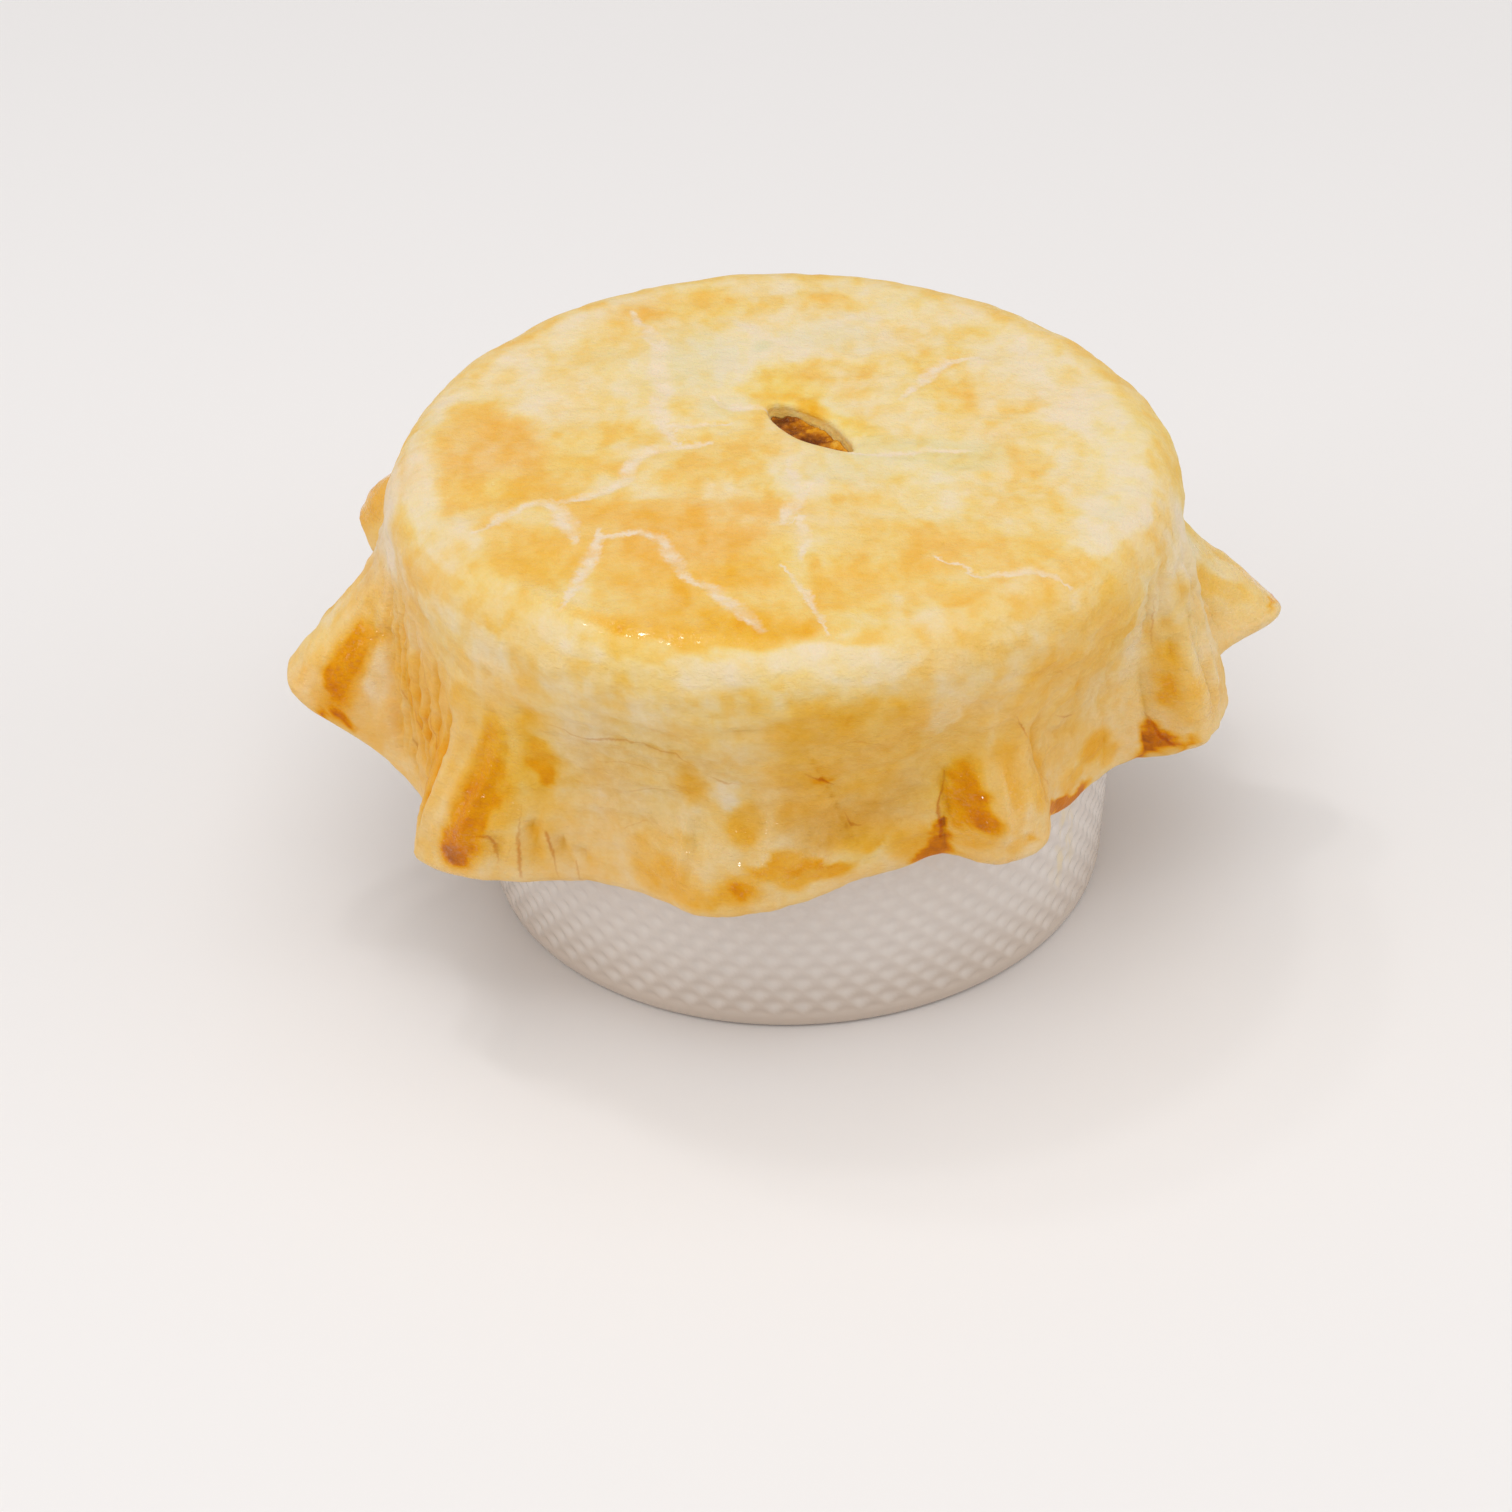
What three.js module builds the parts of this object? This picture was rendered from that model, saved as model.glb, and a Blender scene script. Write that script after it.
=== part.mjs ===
// A pot pie for one, baked in its own dish. A straight-sided white ramekin is filled to the brim, and a round
// sheet of pastry lies over it. The sheet covers the rim, turns down round it and hangs as a skirt, which
// flares out into ten folds. A short slit in the lid shows the filling, which has welled up a little into it.
//
// Frame: the origin is the centre of the dish's foot, +Z is up and the front of the pie faces -Y. An azimuth is
// counted in degrees from the front, and grows towards +X.

import * as THREE from 'three';

// ---- driving dimensions, in millimetres ----

const GAP = 0.3;

const DISH_FOOT_RADIUS = 50.4;
const DISH_RIM_RADIUS = 56;
const DISH_WALL = 5;
const DISH_FLOOR = 6;
const DISH_FOOT_ROUND = 1.6;
const DISH_RIM_ROUND = 1.6;
const DISH_INSIDE_ROUND = 7;

const LID_RADIUS = 62.5;
const LID_TOP = 76.9;
const LID_THICKNESS = 4.6;
const LID_EDGE_ROUND = 8;
const LID_UNDERSIDE = LID_TOP - LID_THICKNESS;
const SKIRT_THICKNESS = 4.8;
const SKIRT_CLEARANCE = 0.35;
// Inside a fold the lining stands out less than the face does, and its hollow is narrower, in degrees.
const LINING_SHORTER = 2;
const LINING_NARROWER = 2.5;
const DISH_HEIGHT = LID_UNDERSIDE - GAP;

// Where the skirt has drawn in from the lid's edge, as a share of its drop.
const SKIRT_DRAWN_IN_BY = 0.62;
// A fold is this much narrower where it starts, at the lid's edge, than at the hem.
const FOLD_NARROWING = 0.35;

// The slit: its middle, its length and width at the top, and its direction in degrees from +X towards +Y.
const SLIT = { x: 4.6, y: 4.7, length: 19.2, width: 6.8, direction: -50 };
const SLIT_LIP = 1;
// The slit's wall leans in by this much from the lip down to the lid's underside.
const SLIT_NARROWING = 1.5;
// One end of the slit is this much narrower than the other.
const SLIT_POINTING = 0.35;
// How high the filling has welled up inside the slit.
const FILLING_IN_SLIT = 74.1;

// ---- driving angles and shapes of the drape; angles in degrees, lengths in millimetres ----

// The lid isn't a true circle: at each of these places it has shrunk in a little.
const LID_SHRINKS = [
  { at: 138, spread: 36, inward: 0.5 },
  { at: 130, spread: 4, inward: 0.7 },
  { at: 116, spread: 6, inward: 0.5 },
  { at: -132, spread: 4, inward: 0.4 },
];

// At the right of the back the lid's edge slumps into a broader curve.
const EDGE_SLUMP = { at: 138, spread: 42, extra: 1.9 };

// The folds, one to a row: the azimuth of the crest; how far it stands out past the valleys; its half-width to
// the left and to the right; the height of its hem; how far the crest leans sideways; how late it starts to
// stand out; how full it is across; how much of its reach comes as a knee; how far its tip is tucked back in;
// and how far the hem rises at its left and at its right corner.
const FOLDS = [
  [-7, 6.5, 13.5, 14.5, 33.6, 0, 1.6, 3.2, 0.3, 0.3, 0.3, 0],
  [31.6, 9.5, 7.6, 7.6, 37.6, -0.5, 1.3, 4.2, 0.3, 0.9, 1, 1.4],
  [71.5, 11.6, 7, 12, 35.8, -1, 0.9, 3.8, 0, 0.9, 0.4, 1.4],
  [97, 20.3, 8.2, 8, 37.2, 1, 1.95, 3.2, 0.2, 0.6, 0, 0],
  [128, 15, 9, 9, 38, 2, 1.3, 3.2, 0.4, 1, 0, 0],
  [163, 17.5, 9, 10, 39.5, -2, 1.3, 3.2, 0.4, 1, 0, 0],
  [-158, 14, 9, 9, 39, 2, 1.3, 3.2, 0.4, 1, 0, 0],
  [-120, 20, 8.6, 8.4, 44.5, -1, 1.3, 3.2, 0.2, 0.8, 0, 0],
  [-86, 18.2, 8.2, 8.4, 43, 2, 1.65, 3.2, 0.1, 0.8, 0, 0.4],
  [-48.5, 11.9, 9, 12, 30.6, -3, 1.1, 3.6, 0.3, 0.8, 0.8, 0],
].map(([at, reach, left, right, hem, lean, flare, fullness, knee, tuck, riseLeft, riseRight]) => ({
  at, reach, left, right, hem, lean, flare, fullness, knee, tuck, riseLeft, riseRight,
}));

// How many half-widths from its crest a fold dies out, and how its lean grows with the drop: as that power.
const FOLD_ENDS = 2.2;
const LEAN_BEND = 1.5;
// The drops between which a fold's knee juts out, and the drop at which its tip starts to tuck in.
const KNEE = { start: 0.42, end: 0.9 };
const TUCK_START = 0.78;
// Where the hem's corners are, counted in half-widths of the fold, and how broad they are.
const HEM_CORNER = { at: 1.15, spread: 0.5 };

// A valley between two folds: its azimuth, and the skirt's outer radius and height at the hem there.
const VALLEYS = [
  { at: -178, radius: 59.5, hem: 33.5 },
  { at: -141, radius: 60.5, hem: 34 },
  { at: -104, radius: 63.5, hem: 34.5 },
  { at: -68, radius: 63.5, hem: 29.3 },
  { at: -29, radius: 58, hem: 32.4 },
  { at: 13, radius: 57.5, hem: 37.2 },
  { at: 51, radius: 57, hem: 34.2 },
  { at: 86, radius: 61.5, hem: 35.8 },
  { at: 112, radius: 60, hem: 33 },
  { at: 146, radius: 59, hem: 33 },
];

// ---- how finely the shapes are faceted ----

const CRUST_COLUMNS = 104;
const LID_ROWS = [0, 0.15, 0.35, 0.6, 0.8, 1];
const EDGE_STEPS = 5;
const SKIRT_STEPS = 9;
const HEM_STEPS = 4;
const LINING_STEPS = 6;
const DISH_SEGMENTS = 64;
const FILLING_SEGMENTS = 40;
const CORNER_STEPS = 3;

const RADIANS = Math.PI / 180;

// ---- small helpers ----

/** An angle brought into the range from -180 to 180 degrees. */
function wrap(angle) {
  return ((((angle + 180) % 360) + 360) % 360) - 180;
}

/** A soft step from 0 to 1, level at both ends. */
function softStep(t) {
  const s = Math.min(Math.max(t, 0), 1);
  return s * s * (3 - 2 * s);
}

/** A bell of height 1 round the azimuth `at`. */
function bell(azimuth, at, spread) {
  return Math.exp(-((wrap(azimuth - at) / spread) ** 2));
}

/** The point at an azimuth, a radius and a height. */
function polar(azimuth, radius, z) {
  const angle = azimuth * RADIANS;
  return new THREE.Vector3(radius * Math.sin(angle), -radius * Math.cos(angle), z);
}

/** A value of the valleys, joined from each valley to the next by a soft step. */
function betweenValleys(azimuth, key) {
  const angle = wrap(azimuth);
  let before = VALLEYS.findLastIndex((valley) => valley.at <= angle);
  if (before < 0) before = VALLEYS.length - 1;
  const from = VALLEYS[before];
  const to = VALLEYS[(before + 1) % VALLEYS.length];
  const span = (to.at - from.at + 360) % 360;
  const share = ((angle - from.at + 360) % 360) / span;
  return from[key] + (to[key] - from[key]) * softStep(share);
}

// ---- the pastry's outer face ----

/** The lid's outer radius: a circle less its shrinks. */
function lidRadius(azimuth) {
  return LID_SHRINKS.reduce((r, s) => r - s.inward * bell(azimuth, s.at, s.spread), LID_RADIUS);
}

/** The radius of the curve by which the lid turns down into the skirt. */
function edgeRound(azimuth) {
  return LID_EDGE_ROUND + EDGE_SLUMP.extra * bell(azimuth, EDGE_SLUMP.at, EDGE_SLUMP.spread);
}

/** The angle from a fold's crest, counted in its half-widths there: below 0 on its left. */
function foldAngle(fold, azimuth, drop, trim = 0) {
  const away = wrap(azimuth - fold.at);
  const halfWidth = (away < 0 ? fold.left : fold.right) - trim;
  return away / (halfWidth * (1 - FOLD_NARROWING * (1 - drop)));
}

/** How much of a fold there is at an azimuth: 1 along its crest, falling to 0 past its flanks. */
function foldShare(fold, azimuth, drop, trim = 0) {
  const q = Math.abs(foldAngle(fold, azimuth, drop, trim));
  return Math.exp(-((q / FOLD_ENDS) ** 4)) / (1 + q ** fold.fullness);
}

/** The height of the hem: the valleys', taken to each fold's own at its crest and raised at its corners. */
function hemHeight(azimuth) {
  const lift = (fold) => {
    const q = foldAngle(fold, azimuth, 1);
    const corner = Math.exp(-(((Math.abs(q) - HEM_CORNER.at) / HEM_CORNER.spread) ** 2));
    const toCrest = (fold.hem - betweenValleys(fold.at, 'hem')) * foldShare(fold, azimuth, 1);
    return toCrest + corner * (q < 0 ? fold.riseLeft : fold.riseRight);
  };
  return FOLDS.reduce((z, fold) => z + lift(fold), betweenValleys(azimuth, 'hem'));
}

/** How far a fold's crest stands out at a share `drop` of the way down, with its reach cut shorter. */
function crestReach(fold, drop, shorter) {
  const even = drop ** fold.flare;
  const sudden = softStep((drop - KNEE.start) / (KNEE.end - KNEE.start));
  const tucked = fold.tuck * softStep((drop - TUCK_START) / (1 - TUCK_START));
  return Math.max(fold.reach - shorter, 0) * (even + fold.knee * (sudden - even)) - tucked;
}

/** How far the folds stand out at an azimuth, a share `drop` of the way down the skirt. */
function foldReach(azimuth, drop, shorter = 0, trim = 0) {
  const reach = (fold) => foldShare(fold, azimuth, drop, trim) * crestReach(fold, drop, shorter);
  return FOLDS.reduce((sum, fold) => sum + reach(fold), 0);
}

/** How far a point of the skirt is carried sideways by the folds that lean: more and more towards the hem. */
function foldLean(azimuth, drop) {
  const lean = (fold) => fold.lean * foldShare(fold, azimuth, drop) * drop ** LEAN_BEND;
  return FOLDS.reduce((sum, fold) => sum + lean(fold), 0);
}

/** The skirt's outer radius in a valley: it draws in from the lid's edge and then hangs straight. */
function valleyRadius(azimuth, drop) {
  const hung = betweenValleys(azimuth, 'radius');
  return lidRadius(azimuth) + (hung - lidRadius(azimuth)) * softStep(drop / SKIRT_DRAWN_IN_BY);
}

/** The skirt's outer face: drop is 0 at the lid's edge and 1 at the hem. */
function skirtFace(azimuth, drop) {
  const top = LID_TOP - edgeRound(azimuth);
  const z = top + (hemHeight(azimuth) - top) * drop;
  const radius = valleyRadius(azimuth, drop) + foldReach(azimuth, drop);
  return { azimuth: azimuth + foldLean(azimuth, drop), radius, z };
}

/** The dish's outer radius at a height. */
function dishRadius(z) {
  return DISH_FOOT_RADIUS + (DISH_RIM_RADIUS - DISH_FOOT_RADIUS) * (z / DISH_HEIGHT);
}

/** The skirt's lining, which faces the dish: drop is 0 under the lid and 1 at the hem. */
function skirtLining(azimuth, drop) {
  const z = LID_UNDERSIDE + (hemHeight(azimuth) - LID_UNDERSIDE) * drop;
  const hung = valleyRadius(azimuth, drop) - SKIRT_THICKNESS;
  const free = hung + foldReach(azimuth, drop, LINING_SHORTER, LINING_NARROWER);
  const radius = Math.max(free, dishRadius(z) + SKIRT_CLEARANCE);
  return { azimuth: azimuth + foldLean(azimuth, drop), radius, z };
}

// ---- the slit ----

/** The slit's outline, grown on all sides: a circle stretched along the slit, with one end drawn to a point. */
function slitPoint(azimuth, grown, z) {
  const direction = SLIT.direction * RADIANS;
  const along = new THREE.Vector2(Math.cos(direction), Math.sin(direction));
  const across = new THREE.Vector2(-along.y, along.x);
  const ray = new THREE.Vector2(Math.sin(azimuth * RADIANS), -Math.cos(azimuth * RADIANS));
  const forward = ray.dot(along);
  const sideways = ray.dot(across) * (1 - SLIT_POINTING * softStep(forward));
  const u = (SLIT.length / 2 + grown) * forward;
  const w = (SLIT.width / 2 + grown) * sideways;
  return new THREE.Vector3(SLIT.x + along.x * u + across.x * w, SLIT.y + along.y * u + across.y * w, z);
}

// ---- closed meshes ----

/** One ring of points round the pie. */
function ring(pointAt, columns = CRUST_COLUMNS) {
  return Array.from({ length: columns }, (_, column) => pointAt((360 * column) / columns));
}

/** A ring of points that a function gives by azimuth, radius and height. */
function polarRing(placeAt) {
  return ring((azimuth) => {
    const place = placeAt(azimuth);
    return polar(place.azimuth, place.radius, place.z);
  });
}

/** The triangles between two rings of points, given by where each ring starts. */
function band(from, to, columns) {
  return Array.from({ length: columns }, (_, column) => {
    const beside = (column + 1) % columns;
    return [from + column, to + column, to + beside, from + column, to + beside, from + beside];
  }).flat();
}

/** A geometry from its points and its triangles. */
function geometryOf(points, indices) {
  const positions = new Float32Array(points.flatMap((point) => point.toArray()));
  const geometry = new THREE.BufferGeometry();
  geometry.setAttribute('position', new THREE.BufferAttribute(positions, 3));
  geometry.setIndex(indices);
  geometry.computeVertexNormals();
  return geometry;
}

/** The closed mesh over rings that follow each other out, down, back up and in again. */
function closedMesh(rings) {
  const columns = CRUST_COLUMNS;
  const start = (row) => (row % rings.length) * columns;
  return geometryOf(rings.flat(), rings.flatMap((_, row) => band(start(row), start(row + 1), columns)));
}

/** The closed mesh over rings that lead from a point on top, out and down, to a point at the bottom. */
function cappedMesh(top, rings, bottom) {
  const columns = rings[0].length;
  const points = [...rings.flat(), top, bottom];
  const lastStart = (rings.length - 1) * columns;
  const fans = Array.from({ length: columns }, (_, column) => {
    const beside = (column + 1) % columns;
    return [points.length - 2, column, beside, points.length - 1, lastStart + beside, lastStart + column];
  }).flat();
  const bands = rings.slice(1).flatMap((_, row) => band(row * columns, (row + 1) * columns, columns));
  return geometryOf(points, [...fans, ...bands]);
}

/** The points of a quarter round, from one angle to another about a centre, in a profile's plane. */
function quarterRound(centreRadius, centreZ, round, fromAngle, toAngle) {
  return Array.from({ length: CORNER_STEPS + 1 }, (_, step) => {
    const angle = (fromAngle + ((toAngle - fromAngle) * step) / CORNER_STEPS) * RADIANS;
    return new THREE.Vector2(centreRadius + round * Math.cos(angle), centreZ + round * Math.sin(angle));
  });
}

/** A turned solid: its profile runs from the axis at the bottom, round the outside, and back to the axis. */
function turned(profile, segments) {
  const geometry = new THREE.LatheGeometry(profile, segments);
  geometry.rotateX(Math.PI / 2);
  return geometry;
}

// ---- the three pieces ----

/** The inner corner between the dish's wall and its floor, set in by `inset` from the clay. */
function insideCorner(inset) {
  const wall = dishRadius(DISH_FLOOR + DISH_INSIDE_ROUND) - DISH_WALL - inset;
  const round = DISH_INSIDE_ROUND;
  return quarterRound(wall - round, DISH_FLOOR + inset + round, round, 0, -90);
}

/** The ramekin: a flat foot, a wall that leans out a little, and a rounded rim. */
function makeDish() {
  const rimMiddle = DISH_RIM_RADIUS - DISH_RIM_ROUND;
  const rimInside = DISH_RIM_RADIUS - DISH_WALL + DISH_RIM_ROUND;
  const rimZ = DISH_HEIGHT - DISH_RIM_ROUND;
  const profile = [
    new THREE.Vector2(0, 0),
    ...quarterRound(DISH_FOOT_RADIUS - DISH_FOOT_ROUND, DISH_FOOT_ROUND, DISH_FOOT_ROUND, -90, 0),
    ...quarterRound(rimMiddle, rimZ, DISH_RIM_ROUND, 0, 90),
    ...quarterRound(rimInside, rimZ, DISH_RIM_ROUND, 90, 180),
    ...insideCorner(0),
    new THREE.Vector2(0, DISH_FLOOR),
  ];
  return turned(profile, DISH_SEGMENTS);
}

/** The filling: it takes up the whole inside of the dish, level with the rim, and wells up inside the slit. */
function makeFilling() {
  const topRadius = DISH_RIM_RADIUS - DISH_WALL - GAP;
  const circle = (radius, z) => ring((azimuth) => polar(azimuth, radius, z), FILLING_SEGMENTS);
  const inSlit = (grown, z) => ring((azimuth) => slitPoint(azimuth, grown, z), FILLING_SEGMENTS);
  const risen = (FILLING_IN_SLIT - LID_UNDERSIDE) / (LID_TOP - SLIT_LIP - LID_UNDERSIDE);
  const wallAtTop = -SLIT_NARROWING * (1 - risen);
  return cappedMesh(
    new THREE.Vector3(SLIT.x, SLIT.y, FILLING_IN_SLIT),
    [
      inSlit(wallAtTop - GAP, FILLING_IN_SLIT),
      inSlit(-SLIT_NARROWING - GAP, LID_UNDERSIDE),
      inSlit(-SLIT_NARROWING - GAP, DISH_HEIGHT),
      circle(topRadius, DISH_HEIGHT),
      circle(topRadius, DISH_HEIGHT - DISH_RIM_ROUND),
      ...insideCorner(GAP).map((corner) => circle(corner.x, corner.y)),
    ],
    new THREE.Vector3(0, 0, DISH_FLOOR + GAP),
  );
}

/** The rings of the lid's top, from the slit's lip out to where the edge starts to turn down. */
function lidRings() {
  return LID_ROWS.map((share) =>
    ring((azimuth) => {
      const lip = slitPoint(azimuth, SLIT_LIP, LID_TOP);
      const edge = polar(azimuth, lidRadius(azimuth) - edgeRound(azimuth), LID_TOP);
      return lip.lerp(edge, share);
    }),
  );
}

/** The rings of the rounded edge, from the lid's top down to the start of the skirt. */
function edgeRings() {
  return Array.from({ length: EDGE_STEPS }, (_, step) => {
    const turn = ((step + 1) / EDGE_STEPS) * 90 * RADIANS;
    return polarRing((azimuth) => {
      const round = edgeRound(azimuth);
      const radius = lidRadius(azimuth) - round * (1 - Math.sin(turn));
      return { azimuth, radius, z: LID_TOP - round * (1 - Math.cos(turn)) };
    });
  });
}

/** The rings of the hem: a half round from the skirt's face to its lining. */
function hemRings() {
  return Array.from({ length: HEM_STEPS }, (_, step) => {
    const turn = ((step + 1) / (HEM_STEPS + 1)) * Math.PI;
    return polarRing((azimuth) => {
      const face = skirtFace(azimuth, 1);
      const lining = skirtLining(azimuth, 1);
      const middle = (face.radius + lining.radius) / 2;
      const half = (face.radius - lining.radius) / 2;
      const radius = middle + half * Math.cos(turn);
      return { azimuth: face.azimuth, radius, z: face.z - (SKIRT_THICKNESS / 2) * Math.sin(turn) };
    });
  });
}

/** The rings of the underside: up the lining from the hem and in beneath the lid, as far as the slit. */
function liningRings() {
  const wall = Array.from({ length: LINING_STEPS + 1 }, (_, step) =>
    polarRing((azimuth) => skirtLining(azimuth, 1 - step / LINING_STEPS)),
  );
  const beneath = ring((azimuth) => polar(azimuth, LID_RADIUS / 2, LID_UNDERSIDE));
  return [...wall, beneath];
}

/** The pastry: one sheet that covers the dish, turns down round its rim and hangs in folds. */
function makeCrust() {
  const skirt = Array.from({ length: SKIRT_STEPS }, (_, step) =>
    polarRing((azimuth) => skirtFace(azimuth, (step + 1) / SKIRT_STEPS)),
  );
  return closedMesh([
    ring((azimuth) => slitPoint(azimuth, -SLIT_NARROWING, LID_UNDERSIDE)),
    ring((azimuth) => slitPoint(azimuth, 0, LID_TOP - SLIT_LIP)),
    ...lidRings(),
    ...edgeRings(),
    ...skirt,
    ...hemRings(),
    ...liningRings(),
  ]);
}

// ---- the group ----

const pieces = [
  { name: 'dish', geometry: makeDish(), color: '#eceae6', roughness: 0.2 },
  { name: 'filling', geometry: makeFilling(), color: '#9c5a1c', roughness: 0.4 },
  { name: 'crust', geometry: makeCrust(), color: '#e6bd62', roughness: 0.55 },
];

const group = new THREE.Group();
for (const { name, geometry, color, roughness } of pieces) {
  const material = new THREE.MeshStandardMaterial({ color, roughness, metalness: 0 });
  const mesh = new THREE.Mesh(geometry, material);
  mesh.name = name;
  group.add(mesh);
}

export default group;
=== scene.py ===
"""A pot pie for one, baked in its own ramekin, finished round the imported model.

Three pieces are worked out as grids of points with numpy: the pastry that is draped over the dish, the
ramekin with its embossed diamonds, and the filling that shows in the slit. Lengths in this script are
millimetres until a mesh is made, and an azimuth is counted in degrees from the front, growing towards +X.
"""

from collections import namedtuple

import bpy
import numpy as np
from mathutils import Matrix, Vector


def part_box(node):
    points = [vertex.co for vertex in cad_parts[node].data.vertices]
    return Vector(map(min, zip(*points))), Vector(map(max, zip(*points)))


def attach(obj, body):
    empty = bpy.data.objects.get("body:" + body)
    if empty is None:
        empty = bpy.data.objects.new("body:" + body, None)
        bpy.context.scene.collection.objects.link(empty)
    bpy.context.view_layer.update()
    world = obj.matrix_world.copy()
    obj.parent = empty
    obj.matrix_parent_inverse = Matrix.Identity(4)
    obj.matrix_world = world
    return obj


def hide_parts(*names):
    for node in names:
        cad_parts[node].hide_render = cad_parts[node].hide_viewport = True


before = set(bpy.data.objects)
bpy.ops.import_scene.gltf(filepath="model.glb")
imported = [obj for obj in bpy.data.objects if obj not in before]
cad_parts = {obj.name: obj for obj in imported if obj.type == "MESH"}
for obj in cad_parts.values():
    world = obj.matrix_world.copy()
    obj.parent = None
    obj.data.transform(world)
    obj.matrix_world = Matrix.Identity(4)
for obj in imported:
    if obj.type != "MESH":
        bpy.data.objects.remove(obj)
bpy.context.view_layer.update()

MM = 0.001

# ---- sizes taken from the imported model ----

crust_high = np.array(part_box("crust")[1]) / MM
dish_high = np.array(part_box("dish")[1]) / MM
filling_low, filling_high = (np.array(corner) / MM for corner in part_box("filling"))

LID_TOP = crust_high[2]
DISH_HEIGHT = dish_high[2]
DISH_RIM_RADIUS = dish_high[0]
FILLING_RADIUS = filling_high[0]
FILLING_FLOOR = filling_low[2]

# ---- the drape's driving sizes, the same as the pastry solid's ----

GAP = 0.3
DISH_FOOT_RADIUS = 50.4
LID_RADIUS = 62.5
LID_EDGE_ROUND = 8.0
LID_UNDERSIDE = DISH_HEIGHT + GAP
SKIRT_THICKNESS = 4.8
SKIRT_CLEARANCE = 0.35
SKIRT_DRAWN_IN_BY = 0.62
FOLD_NARROWING = 0.35
FOLD_CUTOFF = 2.2
LEAN_GROWTH = 1.5
# How much less the folds of the lining reach, in mm, and how much narrower they are, in degrees.
LINING_SHORTER, LINING_TRIM = 2.0, 2.5

SLIT_MIDDLE = (4.6, 4.7)
SLIT_LENGTH = 19.2
SLIT_WIDTH = 6.8
SLIT_DIRECTION = -50.0
SLIT_LIP = 1.0
SLIT_NARROWING = 1.5
SLIT_POINTING = 0.35

# Where the lid has shrunk in: azimuth, spread, how far.
LID_SHRINKS = ((138, 36, 0.5), (130, 4, 0.7), (116, 6, 0.5), (-132, 4, 0.4))
# Where the lid's edge slumps into a broader curve: azimuth, spread, extra radius.
EDGE_SLUMP = (138, 42, 1.9)

# Folds: azimuth of the crest, reach past the valleys, half-width left and right, hem height, lean, flare,
# fullness, knee (how suddenly the fold juts out), tuck (how far its tip curls back in) and the hem's rise
# left and right.
Fold = namedtuple("Fold", "at reach left right hem lean flare fullness knee tuck rise_left rise_right")
FOLDS = tuple(Fold(*sizes) for sizes in (
    (-7, 6.5, 13.5, 14.5, 33.6, 0, 1.6, 3.2, 0.3, 0.3, 0.3, 0),
    (31.6, 9.5, 7.6, 7.6, 37.6, -0.5, 1.3, 4.2, 0.3, 0.9, 1.0, 1.4),
    (71.5, 11.6, 7.0, 12.0, 35.8, -1, 0.9, 3.8, 0.0, 0.9, 0.4, 1.4),
    (97, 20.3, 8.2, 8, 37.2, 1, 1.95, 3.2, 0.2, 0.6, 0, 0),
    (128, 15, 9, 9, 38, 2, 1.3, 3.2, 0.4, 1.0, 0, 0),
    (163, 17.5, 9, 10, 39.5, -2, 1.3, 3.2, 0.4, 1.0, 0, 0),
    (-158, 14, 9, 9, 39, 2, 1.3, 3.2, 0.4, 1.0, 0, 0),
    (-120, 20.0, 8.6, 8.4, 44.5, -1, 1.3, 3.2, 0.2, 0.8, 0, 0),
    (-86, 18.2, 8.2, 8.4, 43.0, 2, 1.65, 3.2, 0.1, 0.8, 0, 0.4),
    (-48.5, 11.9, 9.0, 12, 30.6, -3, 1.1, 3.6, 0.3, 0.8, 0.8, 0),
))
KNEE_START, KNEE_END = 0.42, 0.9
TUCK_START = 0.78
HEM_RISE_AT, HEM_RISE_SPREAD = 1.15, 0.5

# Valleys between the folds: azimuth, outer radius at the hem, hem height.
VALLEYS = (
    (-178, 59.5, 33.5), (-141, 60.5, 34), (-104, 63.5, 34.5), (-68, 63.5, 29.3), (-29, 58, 32.4),
    (13, 57.5, 37.2), (51, 57, 34.2), (86, 61.5, 35.8), (112, 60, 33), (146, 59, 33),
)
VALLEY_RADIUS, VALLEY_HEM = 1, 2

# ---- how finely the pieces are made ----

CRUST_COLUMNS, DISH_COLUMNS, FILLING_COLUMNS = 540, 560, 260
SLIT_ROWS, LIP_ROWS, LID_ROWS, EDGE_ROWS = 8, 6, 64, 18
SKIRT_ROWS, HEM_ROWS, LINING_ROWS, UNDERSIDE_ROWS = 56, 12, 13, 6
DISH_LOW_ROWS, DISH_HIGH_ROWS, DISH_FINE_TO = 91, 36, 42.0
GRAVY_ROWS = 44

# The drop on the slit's wall and lip, where the lid's edge begins, and where hem, lining and underside end.
WALL_DROP, LIP_DROP, EDGE_DROP, HEM_DROP, LINING_DROP, UNDERSIDE_DROP = -2.0, -1.5, -0.25, 1.1, 2.0, 2.5
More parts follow.
